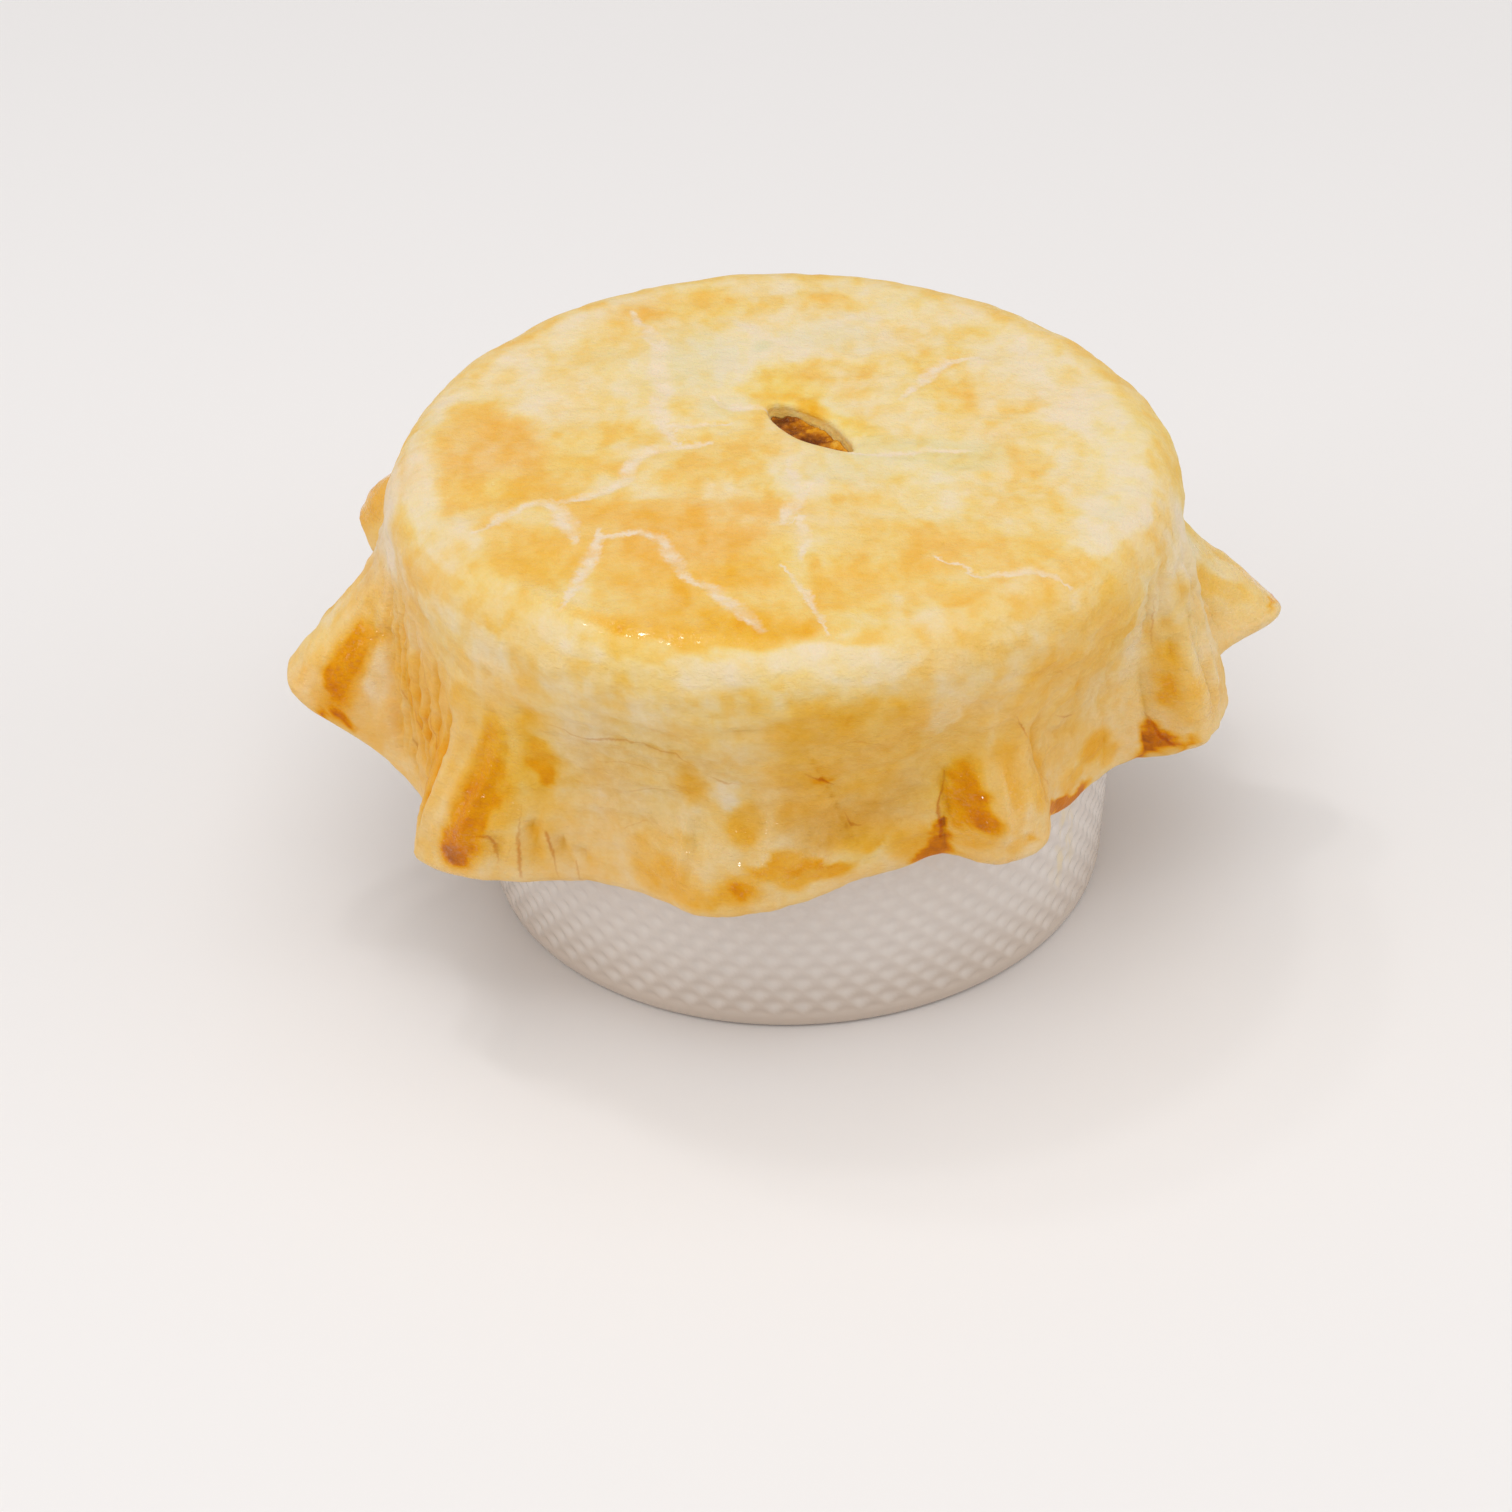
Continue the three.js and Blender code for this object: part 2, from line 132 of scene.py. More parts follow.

# ---- the lid's cracks and the browning ----

# Each crack is a line of points on the lid: x, y and half the crack's width there.
CRACKS = (
    ((-23, 43, 0.4), (-20.5, 37, 1.1), (-19.5, 31, 1.5), (-19.8, 25, 1.3), (-18.6, 18, 1.4), (-19, 10, 1.2),
     (-17.6, 4, 0.9), (-16, 0.5, 0.4)),
    ((-12, 0.5, 0.3), (-17.5, -0.6, 0.8), (-21.5, -2, 1.0), (-23.5, -6, 1.2), (-24.5, -10, 1.1),
     (-28, -13, 0.9), (-32, -14.5, 0.6), (-35, -15.2, 0.3)),
    ((-47, -22.5, 0.3), (-43, -19, 0.9), (-40, -15.8, 0.6), (-37.2, -15.2, 0.8), (-35, -17.5, 0.9),
     (-33.6, -21, 1.1), (-32.6, -25.6, 0.5)),
    ((-32.8, -44, 0.3), (-31, -39.5, 0.7), (-29.5, -34, 0.9), (-28.6, -28, 0.7), (-28.3, -25.5, 0.5),
     (-26, -26.5, 0.4), (-22, -25.6, 0.5), (-18.8, -27.2, 0.5), (-17, -32, 0.8), (-15.2, -37.5, 0.5),
     (-11.5, -41, 0.6), (-7.5, -46.5, 0.8), (-4.4, -52, 0.5)),
    ((1.2, -6.5, 0.4), (1.7, -10, 0.9), (1.7, -13.6, 0.4)),
    ((3.6, -15, 0.3), (2.4, -18, 0.8), (0.6, -21.5, 1.0), (0, -23.8, 0.4)),
    ((2.3, -24.6, 0.4), (2.4, -29, 1.0), (2, -34, 0.3)),
    ((0, -38, 0.2), (2.6, -43, 0.5), (4, -48, 0.4), (5.6, -53, 0.2)),
    ((20, 13, 0.3), (23, 17, 0.9), (24.8, 20.5, 1.0), (26.5, 23, 0.7), (30.4, 24, 0.3)),
    ((23.5, -36, 0.2), (28.5, -41, 0.3), (32.5, -40.6, 0.5), (36.5, -39.6, 0.6), (40.5, -41, 0.2)),
    ((-18.5, 7, 0.3), (-14, 6.2, 0.6), (-9, 6.6, 0.3)),
    ((-10, 14, 0.3), (-7, 11.5, 0.9), (-3.2, 10.6, 0.4)),
    ((12, -4, 0.3), (17, -4.4, 0.5), (23, -4, 0.4), (28, -4.8, 0.3)),
)

# Patches on the lid: x, y, half-length, half-width, turn, how baked it is there (0 pale to 1 dark brown).
LID_PATCHES = (
    # the pale middle, back and rim
    (-12, 28, 15, 12, 20, 0.15), (8, 34, 14, 8, 0, 0.14), (-30, 26, 9, 12, 0, 0.29),
    (-36, 17, 10, 7, 0, 0.15), (-25, 12, 8, 6, 0, 0.2), (41, 30, 10, 9, 40, 0.14),
    (54, 0, 6.5, 30, 0, 0.08), (46, 11, 8, 10, 0, 0.08), (-43, 32, 13, 7, 45, 0.17), (33, 9, 9, 6, 0, 0.36),
    (24, -7, 16, 7, 0, 0.36), (21, -16, 8, 8, 0, 0.2), (33, -18, 9, 6, 20, 0.3), (48, -22, 6, 13, 12, 0.15),
    (3, -13, 4, 6, 0, 0.17), (6, 51, 26, 4, -6, 0.25), (-27, 48, 10, 5, 38, 0.2),
    (28, 40, 12, 5, -40, 0.26), (-4, 0, 12, 8, 0, 0.44), (8, -8, 9, 4, 0, 0.24), (15, 8, 6, 7, 0, 0.38),
    (-8, 13, 5, 3.4, 0, 0.16), (-2, 25, 4, 3, 0, 0.12),
    # the golden field at the left
    (-44, 3, 13, 16, 0, 0.58), (-50, 15, 5, 4, 0, 0.55), (-42, -10, 11, 10, 0, 0.59),
    (-33, -6, 9, 6, 0, 0.56), (-30, 5, 8, 5, 0, 0.44), (-40, -28, 9, 10, 0, 0.55),
    (-32, -15, 4.5, 4.5, 10, 0.6), (-26, -10.5, 5, 4, 0, 0.28), (-22, -20, 11, 5, 0, 0.59),
    (-57.5, -5, 3.6, 26, 0, 0.36), (-50.5, -27, 4, 7, 20, 0.1), (-38, -19, 4, 3, 0, 0.44),
    (-15, -6, 9, 5, 0, 0.46), (-18, -13, 9, 3, 0, 0.38),
    # the golden field in front
    (-17, -35, 21, 15, -6, 0.63), (-34, -35, 8, 6, 0, 0.57), (-33, -43, 5, 4, -40, 0.43),
    (-14, -50, 17, 6, 4, 0.66), (-9, -54.5, 17, 4, 2, 0.725), (-17, -39, 10, 4, 0, 0.65),
    (-24, -45, 6, 4, 0, 0.54), (-8, -45, 5, 3, 0, 0.52), (3, -28, 3, 8, 0, 0.33), (3, -41, 2.6, 7, 0, 0.45),
    (-4, -20, 5, 4, 0, 0.52),
    # the mottled field at the right
    (20, -34, 19, 14, 0, 0.5), (9, -43, 4.5, 8, 0, 0.6), (15, -29, 7, 5, 0, 0.55),
    (27, -46, 5, 3.4, 0, 0.61), (20, -36, 5, 5, 0, 0.57), (36, -34, 8, 5, 20, 0.47),
    (21, -21, 5, 4, 0, 0.22), (10, -20, 8, 3.6, 0, 0.48), (39.5, -24, 3.6, 9, 0, 0.46),
    (33, -25, 3.6, 4, 0, 0.29), (27, -39, 5, 2.6, 0, 0.43), (46, -34, 4, 9, 32, 0.14),
    (34, -46, 5, 3, 33, 0.32), (16, -47, 3, 3, 0, 0.45), (39, -9, 3.6, 4, 0, 0.5), (38, -1, 7, 3, 0, 0.46),
    # smaller golden places
    (-14, 45, 9, 6, 0, 0.5), (-23, 43.5, 4, 3, -30, 0.58), (9, 45.5, 6, 3, -10, 0.52),
    (-14, 38, 6, 4, 0, 0.42), (26, 24, 5, 4, 0, 0.45), (26, 15.5, 5.5, 4.4, 0, 0.54),
    (29, 20, 3, 3, -20, 0.42), (5, 22, 8, 3.4, 0, 0.53), (16, 22, 6, 4, 0, 0.4), (2, 15, 6, 4, 0, 0.45),
    (-14, 12, 3.6, 3, 0, 0.35), (-22, 7, 4, 3, 0, 0.4), (30, 1, 7, 2.6, 0, 0.42), (-27, 38, 4, 4, 0, 0.42),
    (-31, 31, 6, 4, 0, 0.32), (-40, 23, 5, 3, -30, 0.3), (14, -14, 4, 3, 0, 0.38), (58, 7, 3, 9, 0, 0.05),
    (27, 9, 5, 3, 0, 0.42), (20, 37, 7, 4, 0, 0.3), (-37, 14, 6, 5, 0, 0.15), (46, 17, 4, 4, 0, 0.25),
    (50, 1, 3, 4, 0, 0.24), (14, 31, 5, 3, 0, 0.3), (32, 32, 5, 3, 0, 0.32), (-44, 33, 6, 4, 45, 0.14),
    (0, 14, 3.4, 1.6, -16, 0.6), (5, 10.4, 4.8, 1.7, -44, 0.68), (9.6, 5.6, 3.4, 1.3, -50, 0.42),
    # the pale rim in front
    (6, -58.6, 17, 2.4, 0, 0.27), (24, -54.5, 10, 2.2, 24, 0.36), (-42, -45, 9, 2.6, -42, 0.4),
)

# Where the thin pastry lets the filling's green and grey show: x, y, half-length, half-width, turn, share.
THIN_PATCHES = (
    (-2.4, 30.5, 1.8, 1.8, 0, 1.0), (-14, 30, 8, 7, 0, 0.5), (8, 34, 7, 4, 0, 0.4), (-16, 21, 7, 5, 0, 0.4),
    (20, -4, 13, 3.2, 0, 0.7), (29, -7, 6, 4, 0, 0.7), (-9, 12, 4, 3, 0, 0.5), (10, -9, 8, 4, 0, 0.35),
    (12, 30, 6, 3, 0, 0.3), (14.5, -1, 3, 3, 0, 0.5), (50, -24, 2.5, 2.5, 0, 0.4), (-28, 28, 5, 4, 0, 0.25),
)

# Patches on the edge and skirt: azimuth, drop (below 0 on the rounded edge), half-width, half-height, level.
SKIRT_PATCHES = (
    # the rounded edge
    (-86, -0.2, 30, 0.06, 0.22), (-46, -0.2, 11, 0.05, 0.46), (-33, -0.16, 7, 0.05, 0.4),
    (-19, -0.23, 18, 0.05, 0.68), (-22, -0.16, 5, 0.035, 0.52), (-10, -0.1, 7, 0.04, 0.15),
    (-30, -0.1, 4, 0.035, 0.16), (-20, -0.1, 5, 0.03, 0.34), (4, -0.16, 12, 0.045, 0.14),
    (12, -0.225, 5, 0.03, 0.46), (19.5, -0.17, 4, 0.045, 0.46), (12, -0.1, 7, 0.03, 0.24),
    (31, -0.2, 9, 0.05, 0.42), (27, -0.08, 7, 0.04, 0.5), (37, -0.1, 7, 0.05, 0.38),
    (48, -0.22, 5, 0.03, 0.47), (47, -0.1, 4, 0.035, 0.26), (60, -0.21, 8, 0.05, 0.13),
    (58, -0.08, 9, 0.05, 0.48), (78, -0.2, 14, 0.06, 0.13), (67, -0.15, 4, 0.04, 0.1),
    (76, -0.1, 4, 0.04, 0.22), (83, -0.15, 4, 0.04, 0.36), (-66, -0.09, 15, 0.045, 0.48),
    (-65, -0.04, 5, 0.04, 0.6), (-88, -0.06, 8, 0.07, 0.13), (-99, -0.08, 5, 0.05, 0.46),
    (-51, -0.04, 9, 0.03, 0.3), (2, -0.04, 24, 0.03, 0.41), (-64, -0.16, 10, 0.03, 0.22),
    (-15, -0.14, 3, 0.02, 0.2),
    # the drawn flank at the left
    (-86, 0.08, 12, 0.13, 0.1), (-72, 0.04, 5, 0.07, 0.3), (-66, 0.3, 13, 0.22, 0.51),
    (-62, 0.6, 12, 0.36, 0.64), (-59, 0.66, 5, 0.13, 0.73), (-69, 0.22, 5, 0.1, 0.45),
    (-92, 0.28, 4, 0.17, 0.18), (-87, 0.45, 4, 0.14, 0.47), (-97, 0.3, 5, 0.2, 0.38),
    (-87, 0.74, 2.6, 0.17, 0.33), (-50.5, 0.27, 3, 0.08, 0.67), (-52, 0.62, 1.1, 0.24, 0.46),
    (-57, 0.9, 5, 0.1, 0.55), (-72, 0.8, 3, 0.12, 0.5), (-73, 0.4, 3, 0.14, 0.58),
    (-46, 0.02, 5, 0.08, 0.26),
    # the fold at the front left
    (-43, 0.4, 9, 0.36, 0.56), (-43, 0.15, 6, 0.08, 0.47), (-44.6, 0.62, 4.0, 0.32, 0.73),
    (-44.8, 0.9, 3.4, 0.1, 0.76), (-37.6, 0.44, 2.9, 0.24, 0.7), (-50.6, 0.84, 2.2, 0.15, 0.5),
    (-41, 0.72, 1.6, 0.07, 0.68), (-37, 0.86, 4, 0.12, 0.55),
    # the fold at the left and the one behind it
    (-79.6, 0.66, 2.8, 0.34, 0.72), (-80.6, 0.38, 2.4, 0.12, 0.56), (-76, 0.84, 2.4, 0.14, 0.55),
    (-77.2, 0.67, 1.3, 0.13, 0.37), (-94.6, 0.88, 2.2, 0.18, 0.77), (-98, 0.8, 2, 0.2, 0.45),
    # the pale front
    (-26, 0.1, 12, 0.14, 0.38), (-26, 0.34, 11, 0.16, 0.41), (-15, 0.26, 6, 0.2, 0.48),
    (-25, 0.58, 12, 0.18, 0.47), (-30, 0.84, 7, 0.16, 0.5), (-15, 0.42, 2.2, 0.11, 0.63),
    (-14, 0.63, 5, 0.08, 0.42), (-8, 0.1, 4, 0.14, 0.42), (-30, 0.22, 4, 0.05, 0.3),
    (-20, 0.5, 4, 0.04, 0.4), (-33, 0.62, 3, 0.06, 0.38),
    # the front lobe
    (-14, 0.8, 9, 0.12, 0.5), (-19, 0.9, 5.5, 0.1, 0.66), (-22.5, 0.8, 2.4, 0.07, 0.58),
    (-14, 0.96, 3.4, 0.05, 0.68), (-11, 0.78, 3.4, 0.1, 0.42), (-7, 0.61, 2.6, 0.12, 0.68),
    (-7.8, 0.92, 3.4, 0.07, 0.7), (-2.4, 0.82, 4.4, 0.08, 0.76), (1, 0.89, 3.4, 0.07, 0.76),
    (5, 0.92, 3, 0.04, 0.78), (-2.5, 0.69, 1.6, 0.035, 0.4), (-5, 0.78, 2.0, 0.04, 0.42),
    (11, 0.82, 2.4, 0.06, 0.74), (10, 0.985, 3, 0.03, 0.5),
    # the golden front right
    (8, 0.14, 12.5, 0.18, 0.64), (4, 0.1, 5, 0.12, 0.69), (8, 0.36, 12.5, 0.14, 0.65),
    (8, 0.56, 12, 0.18, 0.63), (4, 0.38, 3.4, 0.1, 0.68), (10, 0.74, 9, 0.1, 0.67), (18, 0.6, 5, 0.2, 0.6),
    (21.5, 0.1, 3, 0.18, 0.36), (24.5, 0.0, 3.2, 0.06, 0.4), (25, 0.34, 3.6, 0.14, 0.56),
    (17, 0.9, 4, 0.1, 0.68),
    # the fold at the front right
    (25.6, 0.7, 4.0, 0.24, 0.72), (25, 0.93, 2.6, 0.06, 0.66), (32.4, 0.6, 3.6, 0.22, 0.7),
    (29, 0.66, 1.6, 0.16, 0.56), (33, 0.34, 3.4, 0.14, 0.6), (34.4, 0.88, 2.2, 0.14, 0.48),
    (30.4, 0.84, 2.0, 0.05, 0.56), (30.8, 0.96, 2.2, 0.04, 0.6),
    # the flank right of it
    (46, 0.2, 14, 0.3, 0.58), (39, 0.16, 5, 0.12, 0.66), (45, 0.56, 12, 0.26, 0.57),
    (54, 0.55, 4, 0.14, 0.46), (40, 0.86, 3, 0.09, 0.5), (54, 0.82, 4, 0.08, 0.71),
    (48, 0.9, 4, 0.06, 0.66), (46, 0.4, 3, 0.05, 0.64), (36, 0.76, 2, 0.1, 0.62),
    (57.5, 0.92, 2, 0.06, 0.66),
    # the fold at the right
    (61.5, 0.2, 3.4, 0.34, 0.27), (66.5, 0.2, 2.2, 0.14, 0.24), (67.4, 0.62, 2.2, 0.16, 0.65),
    (68, 0.8, 1.8, 0.12, 0.6), (72, 0.86, 3, 0.16, 0.48), (76, 0.5, 7, 0.3, 0.38),
    (78, 0.86, 4, 0.14, 0.54), (76, 0.12, 5, 0.16, 0.08), (84, 0.0, 4, 0.1, 0.45),
    (72, 0.36, 1.6, 0.14, 0.4),
    # the fold beyond it
    (85, 0.26, 6, 0.14, 0.04), (91.4, 0.72, 1.6, 0.14, 0.62), (91, 0.4, 4, 0.2, 0.12),
    (88, 0.84, 3, 0.14, 0.45), (102, 0.5, 3, 0.2, 0.52), (100, 0.14, 8, 0.14, 0.24),
    (97.4, 0.88, 3, 0.12, 0.56), (97, 0.985, 1.5, 0.025, 0.86), (95, 0.32, 1.4, 0.14, 0.4),
    (84.5, 0.46, 2.4, 0.12, 0.06), (69.5, 0.06, 2, 0.1, 0.12), (94, 0.7, 2, 0.08, 0.3),
    (108, 0.6, 4, 0.3, 0.4),
    # the sides and back
    (130, 0.8, 3.4, 0.24, 0.74), (129, 0.96, 2.4, 0.06, 0.88), (160, 0.75, 3.6, 0.26, 0.78),
    (161, 0.95, 2.4, 0.06, 0.9), (-160, 0.8, 3.6, 0.24, 0.76), (-158, 0.95, 2.4, 0.06, 0.88),
    (-123, 0.78, 4, 0.32, 0.72), (-117, 0.85, 3, 0.22, 0.68), (145, 0.98, 4, 0.05, 0.84),
    (-140, 0.98, 4, 0.05, 0.85), (180, 0.3, 16, 0.24, 0.6), (140, 0.25, 12, 0.22, 0.58),
    (-140, 0.2, 12, 0.18, 0.6), (115, 0.5, 6, 0.34, 0.5), (-105, 0.5, 4, 0.35, 0.42),
    (176, 0.7, 5, 0.2, 0.4), (-172, 0.85, 5, 0.12, 0.68), (120, 0.2, 8, 0.12, 0.3),
    (-118, 0.15, 8, 0.1, 0.3), (156, 0.3, 6, 0.2, 0.38),
)

# Crisp streaks and spots laid over those, in the same numbers.
SKIRT_SPOTS = (
    (-44.8, 0.5, 2.4, 0.18, 0.81), (-44.6, 0.72, 2.5, 0.14, 0.87), (-44.8, 0.86, 2.3, 0.09, 0.9),
    (-45.2, 0.925, 1.9, 0.04, 0.945), (-43.8, 0.935, 0.8, 0.025, 0.96), (-37.9, 0.44, 1.5, 0.1, 0.78),
    (-38, 0.52, 1.2, 0.06, 0.85), (-80.4, 0.7, 1.5, 0.22, 0.845), (-80.6, 0.8, 1.1, 0.1, 0.875),
    (-79.0, 0.975, 1.1, 0.03, 0.92), (-10.2, 0.455, 2.0, 0.05, 0.17), (-15, 0.42, 1.2, 0.06, 0.68),
    (-7.6, 0.92, 1.5, 0.035, 0.845), (2.4, 0.86, 1.1, 0.035, 0.85), (0.4, 0.875, 1.0, 0.02, 0.81),
    (5.4, 0.91, 1.2, 0.025, 0.8), (-2.6, 0.82, 1.2, 0.025, 0.77), (-20, 0.93, 1.6, 0.03, 0.72),
    (3.8, 0.43, 1.4, 0.02, 0.8), (24.4, 0.62, 1.8, 0.1, 0.86), (25.6, 0.74, 2.5, 0.1, 0.885),
    (27.2, 0.83, 1.7, 0.07, 0.875), (24.2, 0.83, 1.0, 0.06, 0.84), (32.6, 0.955, 1.4, 0.018, 0.76),
    (21.6, 0.87, 0.8, 0.05, 0.865), (21.4, 0.95, 1.6, 0.045, 0.93), (20.6, 1.0, 3.0, 0.035, 0.92),
    (43, 0.98, 4.8, 0.03, 0.92), (49, 1.01, 4.6, 0.03, 0.92), (64.0, 0.89, 0.9, 0.04, 0.87),
    (64.4, 0.945, 1.6, 0.035, 0.93), (64.6, 0.995, 2.4, 0.03, 0.92), (66.3, 0.73, 1.2, 0.09, 0.74),
    (97.2, 0.985, 1.5, 0.025, 0.88), (90.6, 0.73, 1.2, 0.1, 0.58), (93.9, 0.95, 1.0, 0.035, 0.87),
)

# Thin lines of painted shade where the skirt has cracked or wrinkled: azimuth, drop and half the line's width
# in mm.
SKIRT_LINES = (
    ((-36, 0.25, 0.08), (-31, 0.27, 0.14), (-27, 0.265, 0.17), (-22, 0.24, 0.13), (-16.4, 0.26, 0.15),
     (-14, 0.31, 0.08)),
    ((-12, 0.37, 0.08), (-10.2, 0.4, 0.16), (-8, 0.42, 0.08)),
    ((2, 0.39, 0.12), (3.8, 0.44, 0.24), (5.4, 0.48, 0.12)),
    ((5, 0.22, 0.08), (9, 0.23, 0.12), (13, 0.28, 0.08)),
    ((7.4, 0.67, 0.1), (8.2, 0.73, 0.2), (9.2, 0.74, 0.12)),
    ((-24.8, 0.55, 0.1), (-21.2, 0.51, 0.13), (-17.2, 0.49, 0.08)),
    ((-25.6, 0.72, 0.1), (-22.8, 0.68, 0.1)),
    ((-29, 0.42, 0.08), (-25, 0.4, 0.13), (-20, 0.41, 0.08)),
    ((-43.2, 0.82, 0.12), (-42, 0.81, 0.2), (-40.9, 0.86, 0.2), (-40.6, 0.93, 0.12)),
    ((-39.4, 0.7, 0.08), (-39, 0.82, 0.16), (-38.8, 0.88, 0.22), (-38.4, 0.99, 0.16)),
    ((-36.4, 0.81, 0.2), (-35.8, 0.87, 0.2), (-35, 0.99, 0.1)),
    ((-32.8, 0.95, 0.14), (-32.4, 1.0, 0.12)),
    ((33.2, 0.32, 0.1), (34.4, 0.41, 0.2), (35.6, 0.49, 0.08)),
    ((43.6, 0.48, 0.1), (46, 0.51, 0.2), (49.2, 0.56, 0.08)),
    ((22.6, 0.6, 0.12), (22.1, 0.68, 0.18), (21.6, 0.75, 0.26), (21.4, 0.93, 0.28)),
    ((38.6, 0.74, 0.08), (39.8, 0.83, 0.14), (40.4, 0.93, 0.1)),
    ((64, 0.82, 0.12), (64.9, 0.9, 0.24), (65.8, 0.97, 0.2)),
    ((64.4, 0.16, 0.08), (65.2, 0.34, 0.14), (65.6, 0.48, 0.08)),
    ((-74.4, 0.5, 0.1), (-71.6, 0.7, 0.16), (-67.2, 0.96, 0.14)),
    ((-71, 0.3, 0.1), (-68.4, 0.52, 0.16), (-64, 0.8, 0.12)),
    ((-64.6, 0.2, 0.1), (-62.2, 0.5, 0.16), (-57, 0.72, 0.14)),
    ((121, 0.5, 0.1), (120.4, 0.75, 0.2), (120, 0.98, 0.2)),
    ((-152, 0.5, 0.1), (-151, 0.75, 0.2), (-150.4, 0.98, 0.2)),
    ((168, 0.6, 0.1), (172, 0.62, 0.2), (176, 0.58, 0.1)),
    ((-130, 0.4, 0.1), (-131, 0.7, 0.2), (-131.6, 0.95, 0.14)),
    ((138, 0.4, 0.1), (142, 0.42, 0.2), (147, 0.4, 0.1)),
)

# Painted shade with a duller tan, where the skirt lies in the lee of the edge or curves in: azimuth, drop,
# half-width, half-height, how much.
DULL_AND_SHADE_PATCHES = (
    (9, 0.6, 12, 0.2, 0.9), (6, 0.46, 8, 0.12, 0.6), (-22, 0.4, 15, 0.36, 0.4), (-22, 0.3, 12, 0.07, 0.5),
    (8, 0.3, 12, 0.3, 0.3), (-6, 0.5, 3, 0.14, 0.4), (15, 0.3, 6, 0.2, 0.25), (48, 0.6, 12, 0.16, 0.3),
    (-86, 0.25, 5, 0.2, 0.35), (56, 0.3, 5, 0.2, 0.2), (-58, 0.8, 6, 0.12, 0.3), (38, 0.55, 3, 0.2, 0.3),
)

# How yellow the pastry is, from 0 (rosy) to 1 (lemon), down from the lid's top to the hem: drop, hue.
HUE_DOWN = ((-0.3, 0.58), (-0.1, 0.5), (0.1, 0.3), (0.7, 0.2), (1.0, 0.08))
# Patches of another hue on the lid: x, y, half-length, half-width, turn, hue.
LID_HUES = (
    (-6, 18, 9, 13, 0, 0.74), (54, -4, 6, 24, 0, 0.85), (-45, 2, 7, 9, 0, 0.2), (-17, -24, 17, 9, 0, 0.25),
    (2, 14, 6, 5, -40, 1.0), (10, 5, 7, 3, -50, 0.95), (-27, 46, 8, 5, 40, 0.35), (22, -8, 12, 6, 0, 0.7),
)
# The same on the edge and skirt: azimuth, drop, half-width, half-height, hue.
SKIRT_HUES = (
    (-70, 0.45, 14, 0.6, 0.0), (-87, 0.18, 9, 0.36, 0.0), (-87, 0.78, 5, 0.2, 0.3),
    (-40, 0.5, 6, 0.22, 0.5), (-74, -0.16, 7, 0.08, 0.6), (-24, 0.12, 12, 0.14, 0.38),
    (84, 0.14, 6, 0.26, 0.85), (95, 0.2, 8, 0.4, 1.0), (95, 0.75, 6, 0.24, 0.55), (57, 0.1, 6, 0.3, 0.5),
    (69, 0.45, 4, 0.18, 0.4), (24, 0.68, 4, 0.18, 0.5), (10, 0.86, 5, 0.1, 0.5), (21, 0.96, 4, 0.1, 0.0),
    (46, 0.98, 9, 0.07, 0.0), (64, 0.95, 4, 0.1, 0.0),
)

# Where the egg wash has stayed wet and bright: azimuth, drop as above, half-width, half-height, how much.
WET_PATCHES = (
    (-26, -0.24, 22, 0.05, 1.0), (-45, 0.85, 5, 0.2, 1.0), (-44, 0.5, 5, 0.3, 0.5),
    (-8, 0.78, 16, 0.18, 0.9), (28, 0.8, 8, 0.22, 0.8), (26, -0.1, 9, 0.06, 0.7), (-80, 0.6, 4, 0.4, 0.8),
    (69, 0.7, 6, 0.3, 0.8), (44, -0.22, 10, 0.04, 0.7), (63, 0.5, 2, 0.4, 0.5), (95, 0.8, 8, 0.3, 0.7),
    (129, 0.8, 6, 0.3, 0.8), (161, 0.8, 6, 0.3, 0.8), (-159, 0.8, 6, 0.3, 0.8), (-121, 0.8, 7, 0.3, 0.8),
    (-30, -0.1, 8, 0.05, 0.5),
)

# A degree of azimuth round the skirt, and the whole of the drop down it, in mm.
DEGREE_LENGTH = 1.1
DROP_LENGTH = 36.0

